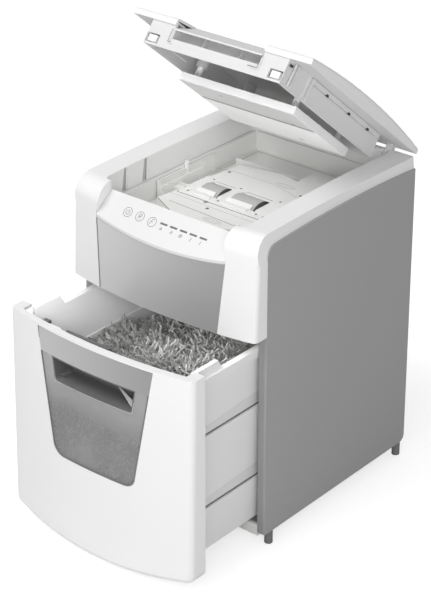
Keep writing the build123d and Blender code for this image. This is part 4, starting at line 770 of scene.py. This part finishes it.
on_deck, on_plate = at_height(deck), at_height(deck + plate_rise)
seams = [line_on(on_deck, points, width) for points, width in (
    ([(-0.061, -0.0885), (0.049, -0.0935), (0.056, -0.0885)], 0.0007),
    ([(-0.072, -0.0612), (0.072, -0.0612)], 0.001),
    ([(-0.072, 0.0013), (0.072, 0.0013)], 0.0009),
    ([(-0.0515, -0.047), (-0.0515, -0.011)], 0.0012),
    ([(0.0433, -0.047), (0.0433, -0.011)], 0.0016),
    ([(-0.072, -0.06), (-0.072, 0.001)], 0.0008))]
seams += [line_on(on_plate, [(x0 - 0.003, -0.0486), (x1 - 0.005, -0.0486)], 0.0006) for x0, x1 in rollers]
seams += [line_on(on_plate, [(x0 + 0.001, -0.009), (x1 + 0.002, -0.009)], 0.0008) for x0, x1 in rollers]
screw_radius, peg_radius = 0.0016, 0.0024
seams += [disc(x, y, screw_radius, deck + plate_rise) for x, y in (
    (-0.06, -0.053), (-0.01, -0.053), (0.052, -0.053), (0.064, -0.054),
    (-0.011, -0.0055), (0.053, -0.005), (0.066, -0.0055), (-0.056, -0.0055))]
seams += [disc(x, y, peg_radius, deck) for x, y in ((-0.008, -0.0764), (0.0596, 0.0281), (-0.058, 0.028))]
add_parts("deck_seams", seams, "cabinet", "dark_plastic", finish="seam")

# %% Shallow relief, drawn as painted shade: two oval signs and the platform's long lines
relief = [ribbon(ring_at(x, y, rx, ry), width, on_deck)
          for x, y in ((0.026, 0.04), (0.02, -0.1))
          for rx, ry, width in ((0.015, 0.0046, 0.0006), (0.0115, 0.0024, 0.0005))]
relief += [line_on(on_deck, points, 0.0007) for points in (
    [(-0.096, 0.021), (-0.06, 0.033), (0.01, 0.0345), (0.075, 0.018)],
    [(-0.09, -0.07), (-0.06, -0.069), (0.01, -0.0715), (0.074, -0.0705)],
    [(-0.096, -0.05), (-0.078, -0.04), (-0.078, 0.018)])]
add_parts("deck_relief_shade", relief, "cabinet", "light_grey", finish="seam_soft")

# %% [markdown]
# ## The tray's floor and walls
#
# Behind the platform the floor drops into a shallow recess with a low wall behind it, and a thin sheet
# of painted shade lies on the recess's floor. Fine lines of shade follow the ledge, the side block and
# the platform's foot, where two faces meet. Two tapering grooves guide the paper stop in the left wall:
# a soft plate shows each one, and a dark edge beside it is the side that the light doesn't reach.

# %% Recess and low walls
low_floor, ledge, block_top = 0.3841, 0.411, 0.409
recess_thick, wall_rise, rib_rise = 0.0003, 0.0095, 0.018
wall_y = (0.087, 0.0895)
# painted shade: thin grey sheets on the recess's floor, where the platform shades it
add_parts("tray_recess_shade", [
    slab(-0.086, 0.027, 0.056, 0.086, low_floor, low_floor + recess_thick, 0.008, 0.0001),
    slab(0.064, 0.086, 0.03, 0.086, low_floor, low_floor + recess_thick, 0.004, 0.0001)
], "cabinet", "light_grey", finish="seam_soft")
add_parts("tray_walls", [
    slab(-0.096, 0.0285, *wall_y, low_floor, low_floor + wall_rise, 0.001),
    slab(0.0625, 0.106, *wall_y, low_floor, low_floor + wall_rise, 0.001),
    slab(-0.1065, -0.0985, -0.06, 0.03, low_floor, low_floor + rib_rise, 0.002)
], "cabinet", "light_grey")

# %% Shadow lines round the tray
on_floor, on_ledge, on_block = (at_height(level) for level in (low_floor, ledge, block_top))
block_lines = [line_on(on_block, [(x, y0), (x, y1)], width)
               for x, width in ((-0.1064, 0.0009), (-0.1021, 0.0006))
               for y0, y1 in ((-0.06, -0.0115), (0.0025, 0.051))]
corner_lines = [slab(-0.1069, -0.1061, y0, y1, low_floor, block_top - 0.0002, 0.0002, 0.0001)
                for y0, y1 in ((-0.0618, -0.0611), (0.0521, 0.053))]
add_parts("tray_edges", [
    line_on(on_ledge, [(-0.1122, -0.14), (-0.1122, 0.147)], 0.001),
    line_on(on_ledge, [(-0.106, 0.1462), (0.106, 0.1462)], 0.0012),
    *block_lines,
    line_on(on_floor, [(-0.1, 0.07), (-0.1, 0.14), (0.1, 0.14)], 0.0012),
    *corner_lines
], "cabinet", "light_grey", finish="seam_soft")
add_parts("platform_foot", [
    line_on(on_floor, [(-0.0362, -0.115), (-0.08, -0.0926), (-0.075, -0.05)], 0.0014),
    line_on(on_deck, [(-0.0358, -0.1131), (-0.078, -0.0915)], 0.0011)
], "cabinet", "dark_plastic", finish="seam")

# %% Grooves in the left wall
groove_low = 0.4125
on_left_wall = at_x(-0.113)


def wedge(low_y0, low_y1, top_y0, top_y1, top):
    """A plate on the left wall that tapers upward: a four-sided outline at two depths."""
    outline = np.array([(low_y0, groove_low), (low_y1, groove_low), (top_y1, top), (top_y0, top)])
    return loft([on_left_wall(outline, lift) for lift in (0.00002, 0.0002)])


add_parts("groove_shade", [
    wedge(-0.1195, -0.115, -0.115, -0.113, 0.4425),
    wedge(-0.0815, -0.0755, -0.0765, -0.0735, 0.4425)
], "cabinet", "light_grey", finish="seam_soft")
add_parts("groove_edge", [
    wedge(-0.115, -0.1138, -0.1132, -0.1122, 0.443),
    wedge(-0.0755, -0.074, -0.0737, -0.0725, 0.443)
], "cabinet", "dark_plastic", finish="seam")

# %% [markdown]
# ## Details of the bin and of the front
#
# A dark seam runs round the window where the clear sheet drops into the bowed front, and others
# follow the band, the front panel's left edge and the control panel's lower edge. The grip pocket
# under the band is moulded in facets, and two lighter plates on them are painted reflections. On the
# bucket's outside the wall steps in under each rib, and a dark line of painted shadow runs there
# with a plate of painted shade on the slope above it.

# %% Seam round the window
on_window = on_bow(window_face)
window_half, window_flare = 0.0651, 0.029 / 0.17


def window_half_at(z):
    """Half of the window's width at height z: it widens evenly from its foot."""
    return window_half + window_flare * (z - window_foot)


def window_outline(low=0.1311, top=0.2668, corner=0.0155, steps=8):
    """Down the left edge, round the lower corners and up the right edge of the tapering window."""
    a = np.linspace(0, math.pi / 2, steps)
    turn_z = low + corner - corner * np.cos(a)
    turn_x = window_half_at(low) - corner + corner * np.sin(a)
    turn_x += (window_half_at(turn_z) - window_half_at(low)) * np.sin(a)
    side_z = np.linspace(low + corner, top, 14)[1:]
    right = np.column_stack([np.append(turn_x, window_half_at(side_z)), np.append(turn_z, side_z)])
    left = right[::-1] * [-1, 1]
    return np.vstack([left, resampled([left[-1], right[0]], 24)[1:-1], right])


add_parts("window_seam", [ribbon(window_outline(), 0.0021, on_window, low=-0.0004, high=0.0007)],
          "bin", "dark_plastic", finish="seam")

# %% Seams of the front panel and of the band
on_front, on_band = on_bow(fitted_bow("front_panel")), on_bow(fitted_bow("bin_band"))
sunk, proud = -0.0003, 0.0004      # each seam starts under its face and ends over it
x = np.linspace(-0.1035, 0.1035, 40)
under_control = np.column_stack([x, 0.3918 + 0.72 * x * x])
band_edge = resampled([(-0.0915, 0.269), (-0.0938, 0.3022), (0.0938, 0.3022)], 24)
add_parts("panel_seam", [
    line_on(on_front, [(-0.096, 0.3062), (-0.104, 0.3985)], 0.0009, sunk, proud, 12)
], "cabinet", "dark_plastic", finish="seam")
add_parts("control_seam", [ribbon(under_control, 0.0007, on_front, sunk, proud)],
          "cabinet", "dark_plastic", finish="seam_soft")
add_parts("band_seam", [
    ribbon(band_edge[:24], 0.0007, on_band, sunk, proud),
    ribbon(band_edge[24:], 0.0009, on_band, sunk, proud)
], "bin", "dark_plastic", finish="seam")


# %% Facets and rim of the grip pocket, with painted reflections on two facets
def facet(corners, back=0.0004):
    """A thin three-cornered plate through three places in the room."""
    corners = np.asarray(corners, float)
    return loft([corners, corners + [0, back, 0]])


# painted reflections: two lighter plates where the pocket's facets catch the light
add_parts("pocket_facet_reflections", [
    facet([(0.025, -0.286, 0.254), (0.0625, -0.294, 0.245), (0.06, -0.2975, 0.2385)]),
    facet([(-0.0655, -0.2975, 0.238), (-0.048, -0.29, 0.2455), (-0.064, -0.294, 0.2385)])
], "bin", "bin_grey", finish="seam_soft")
rim_width, rim_proud = 0.0009, 0.0002
add_parts("pocket_rim", [
    line_on(on_window, [(-0.064, 0.2345), (0.064, 0.2345)], rim_width, 0.0, rim_proud, 30),
    line_on(on_window, [(0.064, 0.2345), (0.0665, 0.25)], rim_width, 0.0, rim_proud, 8)
], "bin", "bin_grey", finish="seam_soft")

# %% Painted shadow lines and painted shade over the bucket's ribs
bucket_wall, wall_lean, bucket_y = 0.13, 0.003, (-0.266, 0.0005)
ribs = ((0.203, 0.082), (0.1, 0.103))            # each rib's height, and the run of wall above it


def slope_shade_plate(side, z, run):
    """A thin plate of painted shade on the bucket's leaning wall over a rib; the wall leans out by
    wall_lean over run.
    """
    y = np.array([bucket_y[0], bucket_y[1], bucket_y[1], -0.13, bucket_y[0]])
    rise = np.array([0.0026, 0.0026, 0.023, 0.02, 0.012])
    x = side * (bucket_wall + wall_lean * rise / run)
    return loft([np.column_stack([x + side * out, y, z + rise]) for out in (0.00005, 0.00035)])


def outward(side, near, far):
    """The x of a wall's near and far face on that side, smaller first."""
    return sorted((side * near, side * far))


# painted shadow: a dark line on the wall just above each rib's ledge
shadow_lines = [slab(*outward(side, bucket_wall, bucket_wall + 0.0006), *bucket_y, z + 0.0001, z + 0.0026,
                0.0002, 0.0001) for side in (-1, 1) for z, _ in ribs]
# one more line of painted shade lies along the bucket's front rim, in the gap above the shreds
shadow_lines.append(slab(-0.076, -0.004, -0.269, -0.2645, 0.284, 0.2848, 0.001, 0.0002))
add_parts("bucket_shadow_lines", shadow_lines, "bin", "dark_plastic", finish="seam")
add_parts("bucket_slope_shade", [slope_shade_plate(side, z, run) for side in (-1, 1) for z, run in ribs],
          "bin", "bin_grey", finish="bin_shade")

# %% [markdown]
# ## Details under the lid
#
# The lid is open at rest, so its pieces are drawn closed and turned about the hinge line. The skirt
# has stiffening ribs and clip holes, and the presser plate carries a stepped lip and a groove.

# %% Raise a closed drawing to the open lid
hinge_y, hinge_z, lid_angle = 0.154, 0.432, math.radians(40)


def raised(points):
    """Turn points about the hinge line by the lid's opening, front edge up."""
    p = np.asarray(points, float)
    dy, dz = p[:, 1] - hinge_y, p[:, 2] - hinge_z
    c, s = math.cos(lid_angle), math.sin(lid_angle)
    return np.stack([p[:, 0], hinge_y + dy * c + dz * s, hinge_z - dy * s + dz * c], -1)


def upright(x0, x1, y0, y1, z0, z1, bevel=0.0005):
    """A small bevelled block: rings at four levels, the outer two drawn in."""
    near = rounded_outline(x0 + bevel, x1 - bevel, y0 + bevel, y1 - bevel, 0.0003, 3)
    wide = rounded_outline(x0, x1, y0, y1, 0.0006, 3)
    return stacked((near, z0), (wide, z0 + bevel), (wide, z1 - bevel), (near, z1))


# %% Skirt ribs and clip holes
skirt_half, rib_proud, rail_proud = 0.108, 0.004, 0.0022
skirt_ribs, clip_holes = [], []
for side in (-1, 1):
    rib_x = outward(side, skirt_half, skirt_half + rib_proud)
    rail_x = outward(side, skirt_half, skirt_half + rail_proud)
    hole_x = outward(side, skirt_half + 0.0006, skirt_half + 0.0028)
    for y0, y1 in ((-0.125, -0.122), (-0.118, -0.1155), (-0.079, -0.0765)):
        skirt_ribs.append(upright(*rib_x, y0, y1, 0.4155, 0.4445))
    skirt_ribs.append(upright(*rail_x, -0.074, 0.108, 0.4385, 0.4448))
    for y in (-0.131, -0.037, 0.023, 0.076):
        clip_holes.append(upright(*hole_x, y - 0.003, y + 0.003, 0.4372, 0.4404))
add_parts("lid_ribs", skirt_ribs, "lid", "lid_inner", turn=raised)
add_parts("lid_clip_holes", clip_holes, "lid", "dark_plastic", turn=raised)

# %% Presser plate: lip, side blocks and groove
presser_half, presser_under = 0.0915, 0.3978
under_presser = at_height(presser_under, out=-1)
lip_z, block_z = presser_under + np.array([-0.0001, 0.001]), presser_under + np.array([0.004, 0.0125])
lip = upright(-presser_half, presser_half, -0.0608, -0.006, *lip_z, 0.0001)
blocks = [upright(0.0885, presser_half, y, y + 0.002, *block_z)
          for y in (-0.03, 0.002, 0.03, 0.058)]
add_parts("presser_step", [lip, *blocks], "presser", "presser_grey", turn=raised)
lines = [line_on(under_presser, [(-0.091, y), (0.091, y)], width)
         for y, width in ((-0.0052, 0.0018), (-0.0012, 0.0009))]
lines += [line_on(under_presser, [(x, y), (x + 0.007, y)], 0.0012, 0.00005, 0.00018)
          for x, y in ((-0.038, -0.042), (0.03, 0.062), (0.058, -0.0085))]
add_parts("presser_lines", lines, "presser", "dark_plastic", finish="seam", turn=raised)
add_parts("presser_groove", [
    line_on(under_presser, [(-0.0911, -0.0032), (0.0911, -0.0032)], 0.0044, 0.00001, 0.00006)
], "presser", "presser_grey", finish="seam_soft", turn=raised)

# %% Outlines on the lid's front and skirt
lid_front = -0.14
on_lid_front, on_skirt = on_bow(lambda x, z: lid_front + 0 * x), at_x(skirt_half)
add_parts("lid_seams", [
    line_on(on_lid_front, [(-0.0706, 0.4395), (-0.0706, 0.4225), (-0.066, 0.4222)], 0.0008),
    line_on(on_lid_front, [(0.0706, 0.4395), (0.0706, 0.4225), (0.056, 0.4222)], 0.0009),
    line_on(on_skirt, [(-0.072, 0.443), (-0.016, 0.4392), (0.02, 0.4392), (0.058, 0.4425)],
            0.0007)
], "lid", "dark_plastic", finish="seam", turn=raised)

# %% Ribs and shade inside the lid
beam_z, web_z, high_z, stop_z = (0.419, 0.4222), (0.43, 0.444), (0.427, 0.444), (0.418, 0.43)
add_parts("lid_crossbar", [
    upright(-0.086, 0.086, -0.1215, -0.12, *beam_z),
    *(upright(*outward(side, 0.0845, 0.086), -0.12, -0.07, *beam_z) for side in (-1, 1)),
    *(upright(-0.1, 0.1, y0, y1, *web_z) for y0, y1 in ((-0.1045, -0.103), (-0.086, -0.0845))),
    *(upright(*outward(side, 0.0285, 0.03), -0.125, -0.086, *high_z) for side in (-1, 1))
], "lid", "lid_inner", turn=raised)
# the first, long bar lies between the two webs and is painted shade
add_parts("lid_dark_bits", [
    upright(-0.095, 0.095, -0.096, -0.0945, 0.426, 0.431),
    upright(0.018, 0.028, -0.115, -0.108, 0.423, 0.43),
    upright(0.1035, 0.105, -0.045, -0.038, *stop_z),
    upright(0.1035, 0.105, 0.005, 0.015, *stop_z)
], "lid", "dark_plastic", turn=raised)

# %% [markdown]
# ## Floor, world and lamps
#
# The floor is pale and takes the object's shadow. The world is white to the camera, to mirrors and
# through glass, and a softer grey as a source of light, so the background stays white without
# flooding the object. Three wide lamps light the whole object, and a small one lifts the open bin.
# Three more are linked to one piece each, so they lift that piece's shade and change nothing else.

# %% Floor
floor_half, floor_tone, floor_lift = 4, 0.68, 0.62


def make_floor():
    """A flat sheet at the feet, with a glow that only the camera sees."""
    line = np.linspace(-floor_half, floor_half, 9)
    x, y = np.meshgrid(line, line)
    mesh = bpy.data.meshes.new("floor")
    mesh.from_pydata(np.stack([x, y, 0 * x], -1).reshape(-1, 3).tolist(), [], grid_faces(9, 9).tolist())
    floor = bpy.data.objects.new("floor", mesh)
    bpy.context.scene.collection.objects.link(floor)
    material, tree, shader = plain_material("floor")
    feed(tree, shader, {"Base Color": (floor_tone, floor_tone, floor_tone, 1), "Roughness": 0.9})
    path = tree.nodes.new("ShaderNodeLightPath")
    lift = tree.nodes.new("ShaderNodeEmission")
    feed(tree, lift, {"Strength": math_node(tree, "MULTIPLY", path.outputs["Is Camera Ray"], floor_lift)})
    both = tree.nodes.new("ShaderNodeAddShader")
    feed(tree, both, {0: shader.outputs[0], 1: lift.outputs[0]})
    output = next(n for n in tree.nodes if n.type == "OUTPUT_MATERIAL")
    feed(tree, output, {"Surface": both.outputs[0]})
    mesh.materials.append(material)


make_floor()


# %% World
def make_world(strength):
    """White where it is looked at, seen in a mirror or through glass; strength where it lights."""
    world = bpy.data.worlds.new("studio")
    bpy.context.scene.world = world
    world.use_nodes = True
    tree = world.node_tree
    background = next(n for n in tree.nodes if n.type == "BACKGROUND")
    path = tree.nodes.new("ShaderNodeLightPath")
    seen = math_node(tree, "MAXIMUM", path.outputs["Is Camera Ray"], path.outputs["Is Glossy Ray"])
    seen = math_node(tree, "MAXIMUM", seen, path.outputs["Is Transmission Ray"])
    level = math_node(tree, "MULTIPLY_ADD", seen, 1.0 - strength, strength)
    feed(tree, background, {"Color": (1, 1, 1, 1), "Strength": level})


make_world(0.35)


# %% Lamps
def add_lamp(name, place, target, size, power, only=None):
    """A soft lamp at place, aimed at target; with only, it lights that piece and no other."""
    data = bpy.data.lights.new(name, "AREA")
    data.shape, data.size, data.size_y, data.energy = "RECTANGLE", size[0], size[1], power
    lamp = bpy.data.objects.new(name, data)
    lamp.location = place
    lamp.rotation_mode = "QUATERNION"
    lamp.rotation_quaternion = (Vector(target) - Vector(place)).to_track_quat("-Z", "Y")
    bpy.context.scene.collection.objects.link(lamp)
    if only is not None:
        lit = bpy.data.collections.new(name + " lights")
        lit.objects.link(only)
        lamp.light_linking.receiver_collection = lit


middle, in_bin, in_bucket = (0.0, 0.0, 0.25), (-0.05, -0.2, 0.24), (-0.13, -0.21, 0.26)
on_presser, on_heap = (0.0, 0.0, 0.5), (0.02, -0.15, 0.26)
add_lamp("key", (-0.8, -1.5, 3.2), middle, (1.7, 1.7), 53)
add_lamp("fill", (2.6, -2.3, 1.9), middle, (1.6, 1.6), 32)
add_lamp("low front", (0.9, -3.2, 1.0), middle, (1.4, 0.8), 11)
add_lamp("bin light", (0.5, -0.75, 0.6), in_bin, (0.25, 0.25), 0.8)
add_lamp("bucket light", (0.11, -0.45, 0.45), in_bucket, (0.15, 0.15), 0.9, solids["bin_bucket"])
add_lamp("presser light", (0.3, -0.9, 0.5), on_presser, (0.3, 0.3), 5.0, solids["presser_plate"])
add_lamp("heap light", (0.05, -0.9, 0.57), on_heap, (0.2, 0.2), 3.2, shred_heap)
